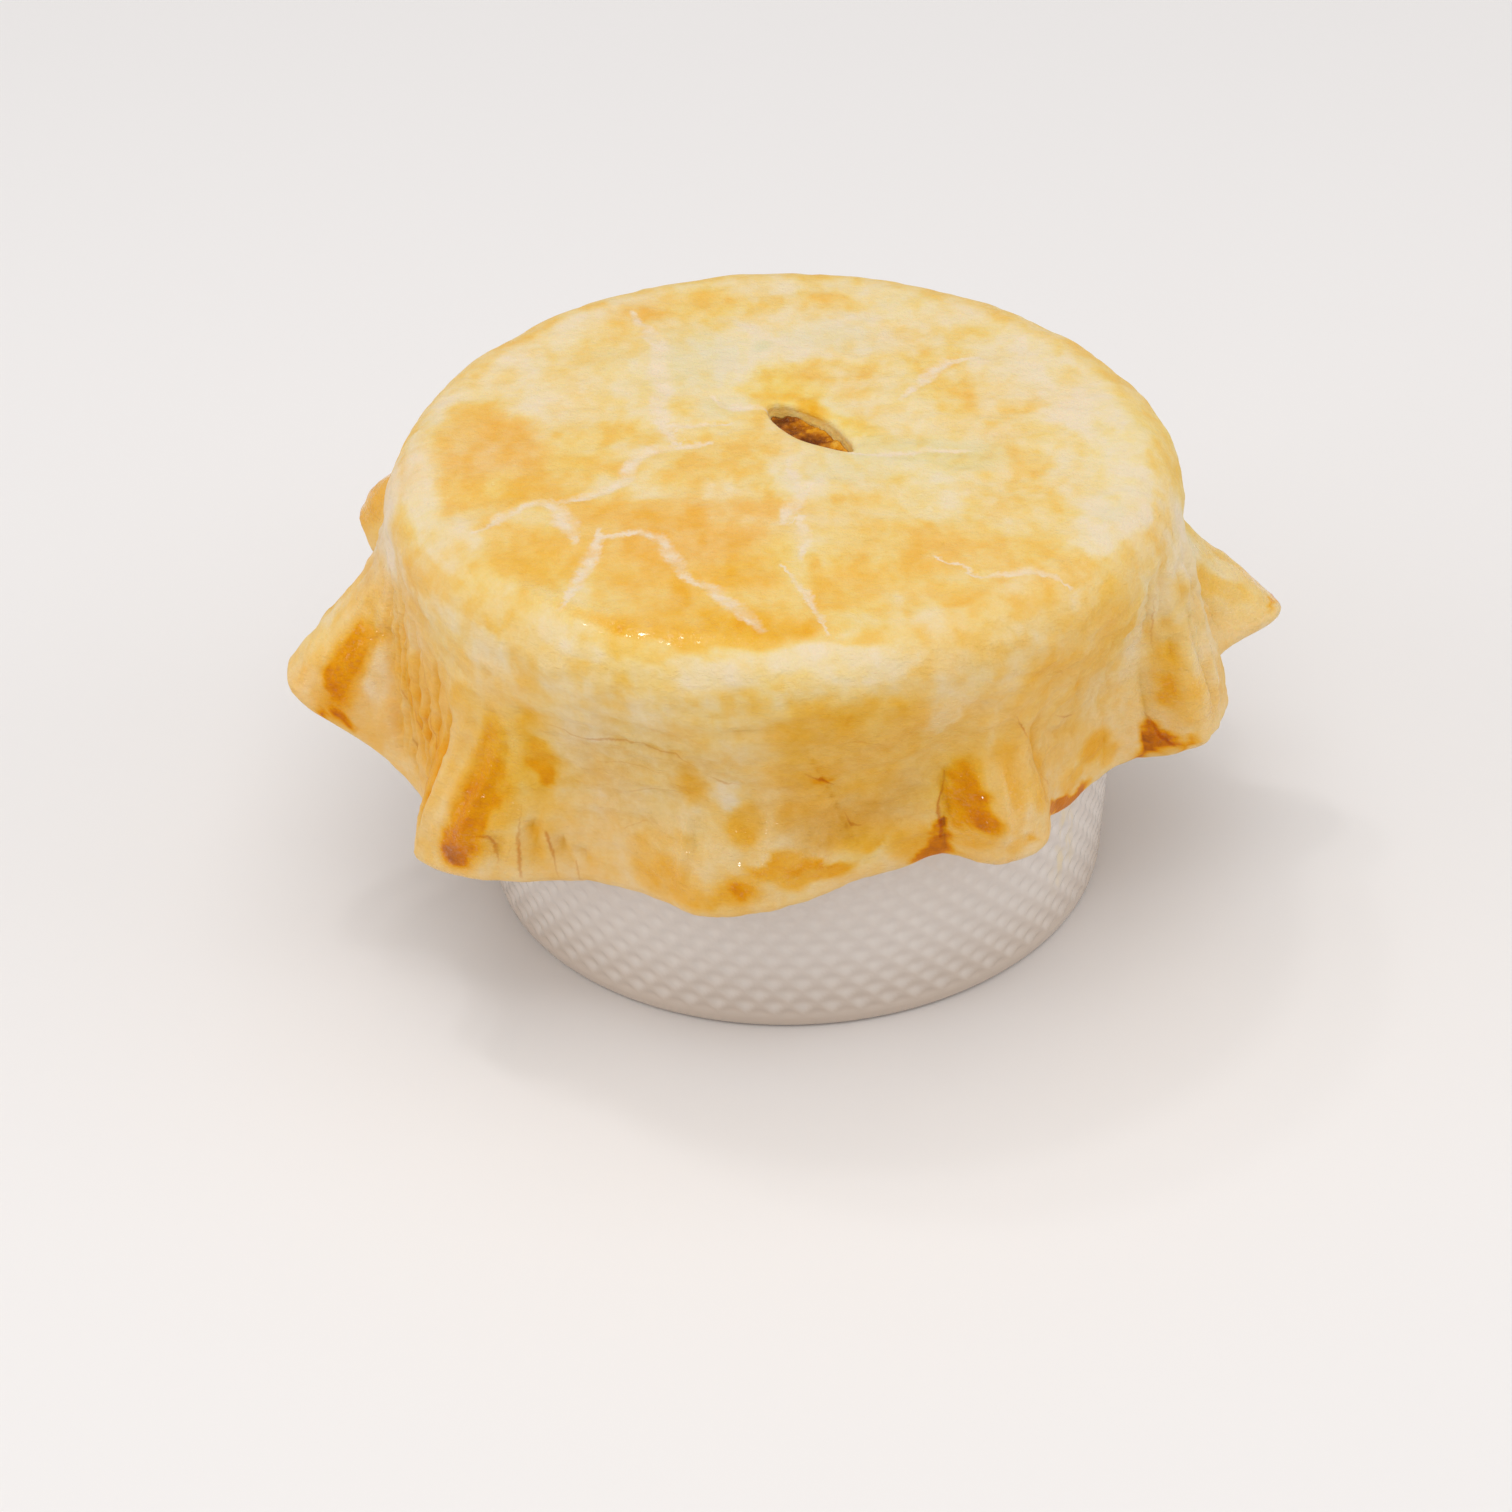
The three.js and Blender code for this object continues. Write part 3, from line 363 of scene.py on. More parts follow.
# Upright wrinkles in the skirt: azimuth, drop at the start and end, sideways drift, depth, half-width in mm.
WRINKLES = (
    (-41.4, 0.78, 0.99, 1.6, 1.2, 0.75), (-38.4, 0.72, 0.99, 1.4, 1.3, 0.75),
    (-35.2, 0.8, 0.99, 2.0, 1.2, 0.75), (-32.4, 0.86, 0.99, 1.0, 0.7, 0.7),
    (61, -0.04, 0.45, 4.5, 0.7, 0.6), (22.6, 0.5, 1.04, -0.6, 1.0, 0.6), (64.0, 0.5, 1.04, -0.6, 0.9, 0.6),
    (-54, 0.3, 1.0, 0.8, 1.2, 0.9), (-79, 0.1, 0.7, 4.0, 0.9, 0.7), (-76, 0.2, 0.95, 3.4, 1.1, 0.8),
    (-73, 0.05, 0.9, 2.0, 1.1, 0.8), (-70, 0.25, 1.0, 1.0, 1.2, 0.8), (-66.5, 0.1, 0.8, 1.4, 1.0, 0.8),
    (-63, 0.35, 1.0, 1.0, 1.1, 0.8), (-59.5, 0.15, 0.85, 1.6, 0.9, 0.7), (-91, 0.1, 0.9, 0.6, 0.7, 0.7),
    (-88, 0.0, 0.5, 0.5, 0.5, 0.6), (-94.5, 0.2, 1.0, -0.5, 0.7, 0.7), (65, -0.02, 0.6, 3.0, 0.6, 0.5),
    (69.5, 0.05, 0.9, 3.0, 0.5, 0.5), (72, 0.05, 0.7, 7.0, 0.6, 0.5), (75, 0.3, 0.95, 8.0, 0.6, 0.5),
    (79, 0.1, 0.8, 8.0, 0.6, 0.5), (52, 0.1, 0.6, 6.0, 0.4, 0.6), (45, 0.15, 0.5, 4.0, 0.35, 0.6),
    (56, 0.5, 1.0, 1.5, 0.4, 0.6), (37.5, 0.4, 1.0, 1.0, 0.9, 0.8), (89.5, 0.42, 0.95, -1.0, 0.8, 0.7),
    (102, 0.4, 1.0, 3.0, 0.7, 0.6), (112, 0.2, 0.9, 0.5, 0.9, 0.8), (-104, 0.2, 0.9, 0.5, 0.9, 0.8),
    (146, 0.2, 0.9, -0.8, 0.8, 0.8), (118, 0.3, 0.8, 1.5, 0.6, 0.7), (152, 0.3, 0.9, 1.5, 0.6, 0.7),
    (174, 0.2, 0.9, -1.5, 0.6, 0.7), (-170, 0.3, 0.9, 1.0, 0.6, 0.7), (-148, 0.2, 0.8, 1.0, 0.7, 0.7),
    (-132, 0.3, 0.9, -1.0, 0.8, 0.7), (-126, 0.4, 0.9, 1.0, 0.6, 0.6),
)

# Creases across the front: azimuth, drop, half-length in degrees, tilt and depth.
CROSS_CREASES = (
    (-25, 0.24, 10, 0.03, 0.5), (-13, 0.29, 7, 0.04, 0.4), (5, 0.52, 3.5, 0.3, 0.4),
    (-20, 0.7, 7, 0.03, 0.3), (-28, 0.4, 7, 0.02, 0.3), (12, 0.68, 6, -0.03, 0.25),
    (-4, 0.1, 5, -0.02, 0.2), (-32, 0.55, 5, 0.02, 0.3), (-9, 0.38, 4, 0.06, 0.3),
    (-17, 0.16, 8, -0.02, 0.25), (10, 0.45, 5, 0.05, 0.25), (46, 0.62, 6, 0.05, 0.25),
)
# Their half-width, and what the whole of the drop is for them, in mm.
CROSS_HALF_WIDTH, CROSS_DROP_LENGTH = 0.8, 35.0

# The brushed field in front ends in a low ledge: its radius, its middle's azimuth and how far it spreads.
LEDGE_RADIUS, LEDGE_AT, LEDGE_SPREAD = 57.0, -20, 26
LEDGE_HEIGHT, LEDGE_SLOPE = 0.45, 1.4
LEDGE_WANDER, LEDGE_WANDER_PITCH = 1.4, 6.0

# ---- the grain of the browning ----

# How baked the lid, skirt, hem, lining and slit's wall are where no patch lies.
LID_LEVEL, SKIRT_LEVEL, HEM_LEVEL, LINING_LEVEL, WALL_LEVEL = 0.33, 0.46, 0.6, 0.62, 0.47
WALL_MOTTLE, WALL_MOTTLE_PITCH, WALL_HUE = 0.1, 3.0, 0.65
# The drops between which the lid's patches give way to the skirt's, and the same for the hem and the lining.
TO_SKIRT, TO_HEM, TO_LINING = (-0.27, -0.21), (1.02, 1.06), (1.07, 1.17)
HEM_SHARE = 0.4
# How softly a patch ends, in shares of its own size.
LID_SOFTNESS, SKIRT_SOFTNESS, SPOT_SOFTNESS, WET_SOFTNESS, HUE_SOFTNESS = 0.5, 0.29, 0.36, 0.5, 0.6
# Noises that lead outlines astray: strength and pitch in mm; spots are frayed by one more.
WANDERING = ((1.5, 10.0), (0.9, 4.5), (0.5, 2.0))
FRAYING, FRAYING_PITCH = 1.8, 1.7
# What a millimetre astray is on the skirt in degrees and in drop, and how much of it cracks and lines follow.
STRAY_DEGREES, STRAY_DROP = 0.5, 0.015
CRACK_STRAY, LINE_STRAY = 0.5, 0.25
# Marbling of the level: strength, pitch in mm and seed; it is drawn out from front to back.
MARBLES = ((0.11, 4.8, 23), (0.09, 2.2, 31))
MARBLE_SHAPE = (1.12, 0.76, 1.0)
MARBLE_CONTRASTS, MARBLE_FINER, MARBLE_ASTRAY = (2.4, 1.3), 2.1, 0.5
MARBLE_LOSS_ON_SKIRT, MARBLE_LOST_FROM = 0.35, (0.0, 0.2)
# Marbling and streaks are calmed where it is baked: by how much, and between which levels.
CALMING = ((0.55, 0.36, 0.58), (0.12, 0.64, 0.74))
# Strokes of the brush on the front of the lid: strength, pitch along x, y and z, and where they set in.
BRUSHING, BRUSH_PITCH, BRUSHED = 0.035, (1.5, 7.0, 7.0), (-10.0, -30.0)
# Streaks down the skirt: strength on it and what a fold adds, slant in degrees, pitch round and down in mm.
STREAKS, FOLD_STREAKS, STREAK_SLANT, STREAK_PITCH = 0.03, 0.07, 4.0, (1.4, 26.0)
STREAKED_REACH = (0.0, 5.0)
# Unevenness of the hue: strength, pitch in mm and seed; and how much rosier the lid is where it is baked.
UNEVEN_HUE = ((0.16, 11.0, 83), (0.12, 4.0, 89))
ROSIER, ROSIER_LEVELS, LID_HUE_FROM = 0.25, (0.48, 0.62), (-0.1, -0.25)
# The drops above which the filling shows through and the lid has cracks, and where there are none at all.
THIN_ABOVE, CRACKS_ABOVE, NO_CRACK = -0.2, -0.02, 50.0

# ---- the grain of the relief, in mm ----

# Swells of the whole surface: height, pitch and seed; and crumbs: height and pitch along x, y and z.
SWELLS = ((0.36, 17.0, 31), (0.24, 7.0, 37))
CRUMB_HEIGHT, CRUMB_PITCH = 0.1, (4.5, 2.6, 3.0)
# A crack is a groove between two raised banks.
CRACK_DEPTH, CRACK_LEAST_WIDTH = 0.14, 0.5
BANK_HEIGHT, BANK_AT, BANK_SPREAD = 0.08, 1.7, 0.9
# Layers, flakes and strands on the skirt: height, and pitch round it and down it.
LAYER_HEIGHT, LAYER_PITCH = 0.3, (8.0, 2.4)
FLAKE_HEIGHT, FLAKE_PITCH = 0.24, (4.6, 1.9)
STRAND_HEIGHT, FOLD_STRAND_HEIGHT, STRAND_PITCH, FINER_STRANDS = 0.06, 0.5, (1.6, 22.0), 0.5
# How far a fold has to reach before strands are drawn along it, and before they fade and layers vanish.
STRANDS_BEGIN, STRANDS_END, LAYERS_END, LAYERS_LOST = (0.5, 4.0), (17.0, 9.0), (0.0, 6.0), 0.6
# How far wrinkles and cross creases wander, at what pitch; how fast a wrinkle fades, and how open its end is.
WRINKLE_WANDER, WRINKLE_WANDER_PITCH, WRINKLE_FADE, WRINKLE_OPEN_END = 0.5, 3.0, 4.0, 0.4
CROSS_WANDER, CROSS_WANDER_PITCH = 0.9, 4.0
# The drops over which the relief sets in and runs out, on the whole, on the lid and on the skirt, and where
# it is calmer near the hem.
RELIEF_BEGINS, RELIEF_ENDS, LID_RELIEF = (-1.45, -1.25), (1.12, 1.02), (-0.15, -0.3)
SKIRT_RELIEF, SKIRT_RELIEF_ENDS, CALM_HEM, CALM_HEM_LOSS = (-0.15, 0.05), (1.08, 1.02), (0.86, 0.98), 0.65

# Seeds of the noises that have none in a row above.
PATCH_SEED, LINE_SEED, FRAY_SEED, BRUSH_SEED, WALL_SEED = 11, 71, 101, 73, 97
CRUMB_SEED, LEDGE_SEED, LAYER_SEED, FLAKE_SEED, STRAND_SEED = 41, 43, 45, 46, 47
WRINKLE_SEED, CROSS_SEED = 53, 59


# ---- arithmetic shared by the pieces ----

def wrap(angle):
    """The angle brought into the range from -180 to 180 degrees."""
    return (angle + 180.0) % 360.0 - 180.0


def soft_step(t):
    """3t^2 - 2t^3 with t held between 0 and 1: a rise that is level at both ends."""
    s = np.clip(t, 0.0, 1.0)
    return s * s * (3.0 - 2.0 * s)


def rise(value, start, end):
    """A soft step from 0 where the value is at the start to 1 at the end, whichever of them is larger."""
    return soft_step((value - start) / (end - start))


def blend(first, second, share):
    """first + (second - first) x share."""
    return first + (second - first) * share


def mound(away, spread):
    """exp(-(away / spread)^2): 1 in the middle, falling softly to 0."""
    return np.exp(-((away / spread) ** 2))


def steps(count):
    """Even shares from just above 0 up to 1."""
    return np.linspace(0.0, 1.0, count + 1)[1:]


def lattice_value(cell, seed):
    """A fixed random value from -1 to 1 for each whole-number cell: the coordinates are mixed by primes."""
    x, y, z = (cell[..., axis].astype(np.int64) for axis in range(3))
    mixed = (x * 73856093) ^ (y * 19349663) ^ (z * 83492791) ^ (seed * 26544357)
    mixed = ((mixed ^ (mixed >> 13)) * 1274126177) & 0xFFFFFFFF
    mixed = ((mixed ^ (mixed >> 15)) * 2246822519) & 0xFFFFFFFF
    mixed = mixed ^ (mixed >> 16)
    return (mixed & 0xFFFF) / 32767.5 - 1.0


def smooth_noise(points, seed, pitch=1.0):
    """Value noise: the eight corners of each cell of the pitch are joined by soft steps along x, y and z."""
    scaled = points / pitch
    low = np.floor(scaled)
    share = soft_step(scaled - low)
    total = np.zeros(points.shape[:-1])
    for corner in np.ndindex(2, 2, 2):
        weight = np.ones(points.shape[:-1])
        for axis, far in enumerate(corner):
            weight = weight * (share[..., axis] if far else 1.0 - share[..., axis])
        total = total + weight * lattice_value(low + np.array(corner), seed)
    return total


def noises(points, rows):
    """The sum of strength x smooth noise over rows of strength, pitch and seed."""
    return sum(strength * smooth_noise(points, seed, pitch) for strength, pitch, seed in rows)


def polar(azimuth, radius, z):
    """(radius sin azimuth, -radius cos azimuth, z)."""
    angle = np.radians(azimuth)
    return np.stack([radius * np.sin(angle), -radius * np.cos(angle), z + 0.0 * angle], axis=-1)


def around(azimuth, height, across, along):
    """Noise coordinates on a drum of the lid's radius: a cell is `across` mm round and `along` mm up."""
    return polar(azimuth, LID_RADIUS, height) / np.array([across, across, along])


# ---- the drape ----

def between_valleys(azimuth, column):
    """The valleys' value in a column, joined from each valley to the next by a soft step, right round."""
    table = np.array([VALLEYS[-1], *VALLEYS, VALLEYS[0]], dtype=float)
    table[0, 0] -= 360.0
    table[-1, 0] += 360.0
    at, value = table[:, 0], table[:, column]
    angle = wrap(np.asarray(azimuth, dtype=float))
    before = np.clip(np.searchsorted(at, angle, side="right") - 1, 0, len(at) - 2)
    return blend(value[before], value[before + 1], rise(angle, at[before], at[before + 1]))


def lid_radius(azimuth):
    """The lid's outer radius: a circle less a mound for each place where it has shrunk in."""
    return LID_RADIUS - sum(inward * mound(wrap(azimuth - at), spread) for at, spread, inward in LID_SHRINKS)


def edge_round(azimuth):
    """The radius of the curve that turns the lid down into the skirt."""
    at, spread, extra = EDGE_SLUMP
    return LID_EDGE_ROUND + extra * mound(wrap(azimuth - at), spread)


def fold_angle(fold, azimuth, drop, trim=0.0):
    """The angle from the crest over the half-width, which narrows towards the lid; below 0 on the left."""
    away = wrap(azimuth - fold.at)
    half_width = np.where(away < 0, fold.left, fold.right) - trim
    return away / (half_width * (1.0 - FOLD_NARROWING * (1.0 - drop)))


def fold_share(fold, azimuth, drop, trim=0.0):
    """exp(-(q/cutoff)^4) / (1 + q^fullness), where q is the fold's angle without its sign."""
    q = np.abs(fold_angle(fold, azimuth, drop, trim))
    return np.exp(-((q / FOLD_CUTOFF) ** 4)) / (1.0 + q**fold.fullness)


def hem_height(azimuth):
    """The valleys' hem, moved to each fold's own hem along its crest and raised at the fold's two corners."""
    height = between_valleys(azimuth, VALLEY_HEM)
    for fold in FOLDS:
        q = fold_angle(fold, azimuth, 1.0)
        corner = mound(np.abs(q) - HEM_RISE_AT, HEM_RISE_SPREAD)
        height = height + (fold.hem - between_valleys(fold.at, VALLEY_HEM)) * fold_share(fold, azimuth, 1.0)
        height = height + corner * np.where(q < 0, fold.rise_left, fold.rise_right)
    return height


def fold_reach(azimuth, drop, shorter=0.0, trim=0.0):
    """The folds' sum of share x (reach x (drop^flare, part of it a soft knee) - tuck near the hem)."""
    total = 0.0
    knee_step, tucked = rise(drop, KNEE_START, KNEE_END), rise(drop, TUCK_START, 1.0)
    for fold in FOLDS:
        grown = blend(drop**fold.flare, knee_step, fold.knee)
        reach = max(fold.reach - shorter, 0.0) * grown - fold.tuck * tucked
        total = total + fold_share(fold, azimuth, drop, trim) * reach
    return total


def fold_lean(azimuth, drop):
    """The folds' sum of lean x share x drop^growth, in degrees."""
    return sum(fold.lean * fold_share(fold, azimuth, drop) * drop**LEAN_GROWTH for fold in FOLDS)


def valley_radius(azimuth, drop):
    """The lid's radius, drawn in to the valley's by a soft step that ends part of the way down."""
    drawn_in = rise(drop, 0.0, SKIRT_DRAWN_IN_BY)
    return blend(lid_radius(azimuth), between_valleys(azimuth, VALLEY_RADIUS), drawn_in)


def skirt_face(azimuth, drop):
    """The skirt's outer face: valley radius plus fold reach, from the lid's edge (drop 0) to the hem (1)."""
    z = blend(LID_TOP - edge_round(azimuth), hem_height(azimuth), drop)
    radius = valley_radius(azimuth, drop) + fold_reach(azimuth, drop)
    return polar(azimuth + fold_lean(azimuth, drop), radius, z)


def dish_radius(z):
    """The dish's outer radius, which grows evenly from the foot to the rim."""
    return blend(DISH_FOOT_RADIUS, DISH_RIM_RADIUS, z / DISH_HEIGHT)


def skirt_lining(azimuth, drop):
    """The face towards the dish: the outer face less a thickness, and never closer than the clearance."""
    z = blend(LID_UNDERSIDE, hem_height(azimuth), drop)
    reach = fold_reach(azimuth, drop, LINING_SHORTER, LINING_TRIM)
    free = valley_radius(azimuth, drop) - SKIRT_THICKNESS + reach
    return polar(azimuth + fold_lean(azimuth, drop), np.maximum(free, dish_radius(z) + SKIRT_CLEARANCE), z)


def slit_axes():
    """The directions along the slit and across it, in plan."""
    direction = np.radians(SLIT_DIRECTION)
    return np.array([[np.cos(direction), np.sin(direction)], [-np.sin(direction), np.cos(direction)]])


def slit_ring(azimuth, grown, z):
    """The slit's outline grown on all sides: a circle stretched along the slit, one end drawn to a point."""
    axes = slit_axes()
    ray = polar(azimuth, 1.0, 0.0)[:, :2]
    forward, sideways = ray @ axes[0], ray @ axes[1]
    sideways = sideways * (1.0 - SLIT_POINTING * soft_step(forward))
    plan = (SLIT_LENGTH / 2 + grown) * np.outer(forward, axes[0])
    plan = plan + (SLIT_WIDTH / 2 + grown) * np.outer(sideways, axes[1])
    return np.column_stack([plan + SLIT_MIDDLE, np.full(len(azimuth), z)])


# ---- meshes ----

def ring_piece(name, rings, attributes, capped):
    """A closed body over rings of points, which follow each other either round its whole section or, capped,
    out along the bottom, up and back in; then a flat face closes the first ring and another the last."""
    rows, columns = rings.shape[:2]
    row, column = np.meshgrid(np.arange(rows - capped), np.arange(columns), indexing="ij")
    below, beside = (row + 1) % rows, (column + 1) % columns
    square = ((row, column), (below, column), (below, beside), (row, beside))
    corners = [at * columns + side for at, side in square]
    faces = [np.stack(corners[::-1] if capped else corners, axis=-1).reshape(-1, 4)]
    if capped:
        first = np.arange(columns)[None]
        faces += [first[:, ::-1], first + (rows - 1) * columns]
    return mesh_piece(name, rings.reshape(-1, 3), faces, attributes)


def mesh_piece(name, points, faces, attributes):
    """A smooth-shaded object at the origin from points in millimetres, tables of faces and point values."""
    corners = np.concatenate([table.ravel() for table in faces])
    counts = np.concatenate([np.full(len(table), table.shape[1]) for table in faces])
    mesh = bpy.data.meshes.new(name)
    mesh.vertices.add(len(points))
    mesh.vertices.foreach_set("co", (points * MM).astype(np.float32).ravel())
    mesh.loops.add(len(corners))
    mesh.loops.foreach_set("vertex_index", corners.astype(np.int32))
    mesh.polygons.add(len(counts))
    mesh.polygons.foreach_set("loop_start", (np.cumsum(counts) - counts).astype(np.int32))
    mesh.update(calc_edges=True)
    mesh.polygons.foreach_set("use_smooth", np.ones(len(counts), dtype=bool))
    for label, values in attributes.items():
        layer = mesh.attributes.new(label, "FLOAT", "POINT")
        layer.data.foreach_set("value", values.astype(np.float32).ravel())
    mesh.validate()
    piece = bpy.data.objects.new(name, mesh)
    bpy.context.scene.collection.objects.link(piece)
    return piece


def grid_normals(points):
    """Unit normals of a grid that closes both ways, from the differences between neighbours."""
    down, onward = (np.roll(points, -1, axis=axis) - np.roll(points, 1, axis=axis) for axis in (0, 1))
    normals = np.cross(down, onward)
    return normals / np.maximum(np.linalg.norm(normals, axis=-1, keepdims=True), 1e-9)


# ---- the pastry ----

def crust_grid():
    """The pastry's rings: slit wall, lip, lid, rounded edge, skirt, hem, lining and underside.

    Also gives, for each point, its azimuth and its drop: 0 to 1 down the skirt, -0.25 to 0 round the edge,
    below -0.25 on the lid's top, and above 1 round the hem and up the lining.
    """
    azimuth = np.linspace(-180.0, 180.0, CRUST_COLUMNS, endpoint=False)
    rings, drops = [], []

    def add(ring, drop):
        """Sets the next ring down with its drop."""
        rings.append(ring)
        drops.append(np.full(CRUST_COLUMNS, drop))

    lip_z = LID_TOP - SLIT_LIP
    for share in np.linspace(0.0, 1.0, SLIT_ROWS):
        add(slit_ring(azimuth, SLIT_NARROWING * (share - 1.0), blend(LID_UNDERSIDE, lip_z, share)), WALL_DROP)
    for turn in steps(LIP_ROWS) * np.pi / 2:
        lip = slit_ring(azimuth, SLIT_LIP * (1.0 - np.cos(turn)), lip_z + SLIT_LIP * np.sin(turn))
        add(lip, LIP_DROP)
    bend = edge_round(azimuth)
    flat_edge = polar(azimuth, lid_radius(azimuth) - bend, LID_TOP)
    for share in steps(LID_ROWS):
        add(blend(lip, flat_edge, share), EDGE_DROP + share - 1.0)
    for share in steps(EDGE_ROWS):
        turn = share * np.pi / 2
        radius = lid_radius(azimuth) - bend * (1.0 - np.sin(turn))
        add(polar(azimuth, radius, LID_TOP - bend * (1.0 - np.cos(turn))), EDGE_DROP * (1.0 - share))
    for drop in steps(SKIRT_ROWS):
        add(skirt_face(azimuth, drop), drop)
    face, lining = skirt_face(azimuth, 1.0), skirt_lining(azimuth, 1.0)
    for turn in np.linspace(0.0, np.pi, HEM_ROWS)[1:-1]:
        ring = (face + lining) / 2 + (face - lining) / 2 * np.cos(turn)
        ring[:, 2] -= SKIRT_THICKNESS / 2 * np.sin(turn)
        add(ring, blend(1.0, HEM_DROP, turn / np.pi))
    for drop in np.linspace(1.0, 0.0, LINING_ROWS):
        add(skirt_lining(azimuth, drop), blend(LINING_DROP, HEM_DROP, drop))
    outer, inner = rings[-1], rings[0]
    for share in np.linspace(0.0, 1.0, UNDERSIDE_ROWS)[1:-1]:
        add(blend(outer, inner, share), UNDERSIDE_DROP)
    return np.array(rings), np.broadcast_to(azimuth, (len(rings), CRUST_COLUMNS)), np.array(drops)


def line_distances(x, y, lines):
    """Signed and plain distance to the nearest of the lines, and half its width there, all in mm."""
    best, side, width = np.full(x.shape, 1e9), np.full(x.shape, 1e3), np.full(x.shape, 0.5)
    for line in lines:
        for (ax, ay, a_half), (bx, by, b_half) in zip(line[:-1], line[1:]):
            length = np.hypot(bx - ax, by - ay)
            along = np.clip(((x - ax) * (bx - ax) + (y - ay) * (by - ay)) / length**2, 0.0, 1.0)
            away = np.hypot(x - ax - along * (bx - ax), y - ay - along * (by - ay))
            signed = ((bx - ax) * (y - ay) - (by - ay) * (x - ax)) / length
            nearer = away < best
            best = np.where(nearer, away, best)
            side = np.where(nearer, signed, side)
            width = np.where(nearer, blend(a_half, b_half, along), width)
    return side, best, width


def lay_patches(level, first, second, patches, softness):
    """Brings the level to each patch's own inside an ellipse whose edge is a soft step."""
    for at_first, at_second, half_first, half_second, turn, target in patches:
        angle = np.radians(turn)
        u = (first - at_first) * np.cos(angle) + (second - at_second) * np.sin(angle)
        v = -(first - at_first) * np.sin(angle) + (second - at_second) * np.cos(angle)
        away = np.hypot(u / half_first, v / half_second)
        level = blend(level, target, rise(away, 1.0 + softness, 1.0 - softness))
    return level


def lay_on_skirt(level, azimuth, drop, patches, stray, softness):
    """The same on the skirt: azimuth in degrees and drop, both led astray by noise given in mm."""
    turned, lowered = wrap(azimuth) + stray[0] * STRAY_DEGREES, drop + stray[1] * STRAY_DROP
    upright = [(at, down, wide, high, 0, target) for at, down, wide, high, target in patches]
    return lay_patches(level, turned, lowered, upright, softness)


def wandering(points, seed):
    """Two noises in mm that lead outlines astray, each the sum of three sizes."""
    stray = []
    for way in (0, 1):
        rows = [(strength, pitch, seed + way + 2 * size) for size, (strength, pitch) in enumerate(WANDERING)]
        stray.append(noises(points, rows))
    return stray


def marbling(points, seed):
    """Sharpened noise from -1 to 1: tanh of two layers whose coordinates are themselves led astray."""
    ways = np.stack([smooth_noise(points, seed + way, 2.0) for way in (5, 6, 7)], axis=-1)
    astray = points + MARBLE_ASTRAY * ways
    coarse, fine = smooth_noise(astray, seed), smooth_noise(astray * MARBLE_FINER, seed + 1)
    return np.tanh(MARBLE_CONTRASTS[0] * coarse + MARBLE_CONTRASTS[1] * fine)


def crust_bake(points, azimuth, drop):
    """How baked each point is: patches with wandering outlines, marbling, streaks, hem, lining and wall."""
    stray = wandering(points, PATCH_SEED)
    x, y, z = np.moveaxis(points, -1, 0)
    lid = np.full(drop.shape, LID_LEVEL)
    lid = lay_patches(lid, x + stray[0], y + stray[1], LID_PATCHES, LID_SOFTNESS)
    skirt = np.full(drop.shape, SKIRT_LEVEL)
    skirt = lay_on_skirt(skirt, azimuth, drop, SKIRT_PATCHES, stray, SKIRT_SOFTNESS)
    frayed = [stray[way] + FRAYING * smooth_noise(points, FRAY_SEED + way, FRAYING_PITCH) for way in (0, 1)]
    skirt = lay_on_skirt(skirt, azimuth, drop, SKIRT_SPOTS, frayed, SPOT_SOFTNESS)
    on_skirt = rise(drop, *TO_SKIRT)
    level = blend(lid, skirt, on_skirt)
    calm = 1.0 - sum(loss * rise(level, start, end) for loss, start, end in CALMING)
    drawn = points * MARBLE_SHAPE
    marble = sum(strength * marbling(drawn / pitch, seed) for strength, pitch, seed in MARBLES)
    level = level + calm * marble * (1.0 - MARBLE_LOSS_ON_SKIRT * rise(drop, *MARBLE_LOST_FROM))
    brushed = rise(y, *BRUSHED) * (1.0 - on_skirt)
    level = level + BRUSHING * smooth_noise(points, BRUSH_SEED, np.array(BRUSH_PITCH)) * brushed
    streaks = smooth_noise(around(azimuth + STREAK_SLANT * drop, z, *STREAK_PITCH), STRAND_SEED)
    on_fold = rise(fold_reach(azimuth, np.clip(drop, 0.0, 1.0)), *STREAKED_REACH)
    level = level + on_skirt * (STREAKS + FOLD_STREAKS * on_fold) * streaks * calm
    level = blend(level, HEM_LEVEL, HEM_SHARE * rise(drop, *TO_HEM))
    level = blend(level, LINING_LEVEL, rise(drop, *TO_LINING))
    wall = WALL_LEVEL + WALL_MOTTLE * smooth_noise(points, WALL_SEED, WALL_MOTTLE_PITCH)
    return np.where(drop < LIP_DROP, wall, level)


def crust_hue(points, azimuth, drop, bake):
    """From 0, rosy, to 1, lemon: it falls from lid to hem, with patches, noise and rosier baked places."""
    hue = np.interp(drop, *np.array(HUE_DOWN).T)
    on_lid = rise(drop, *LID_HUE_FROM)
    hue = blend(hue, lay_patches(hue, points[..., 0], points[..., 1], LID_HUES, HUE_SOFTNESS), on_lid)
    hue = lay_on_skirt(hue, azimuth, drop, SKIRT_HUES, (0.0, 0.0), HUE_SOFTNESS)
    hue = hue + noises(points, UNEVEN_HUE) - ROSIER * on_lid * rise(bake, *ROSIER_LEVELS)
    return np.clip(np.where(drop < LIP_DROP, WALL_HUE, hue), 0.0, 1.0)


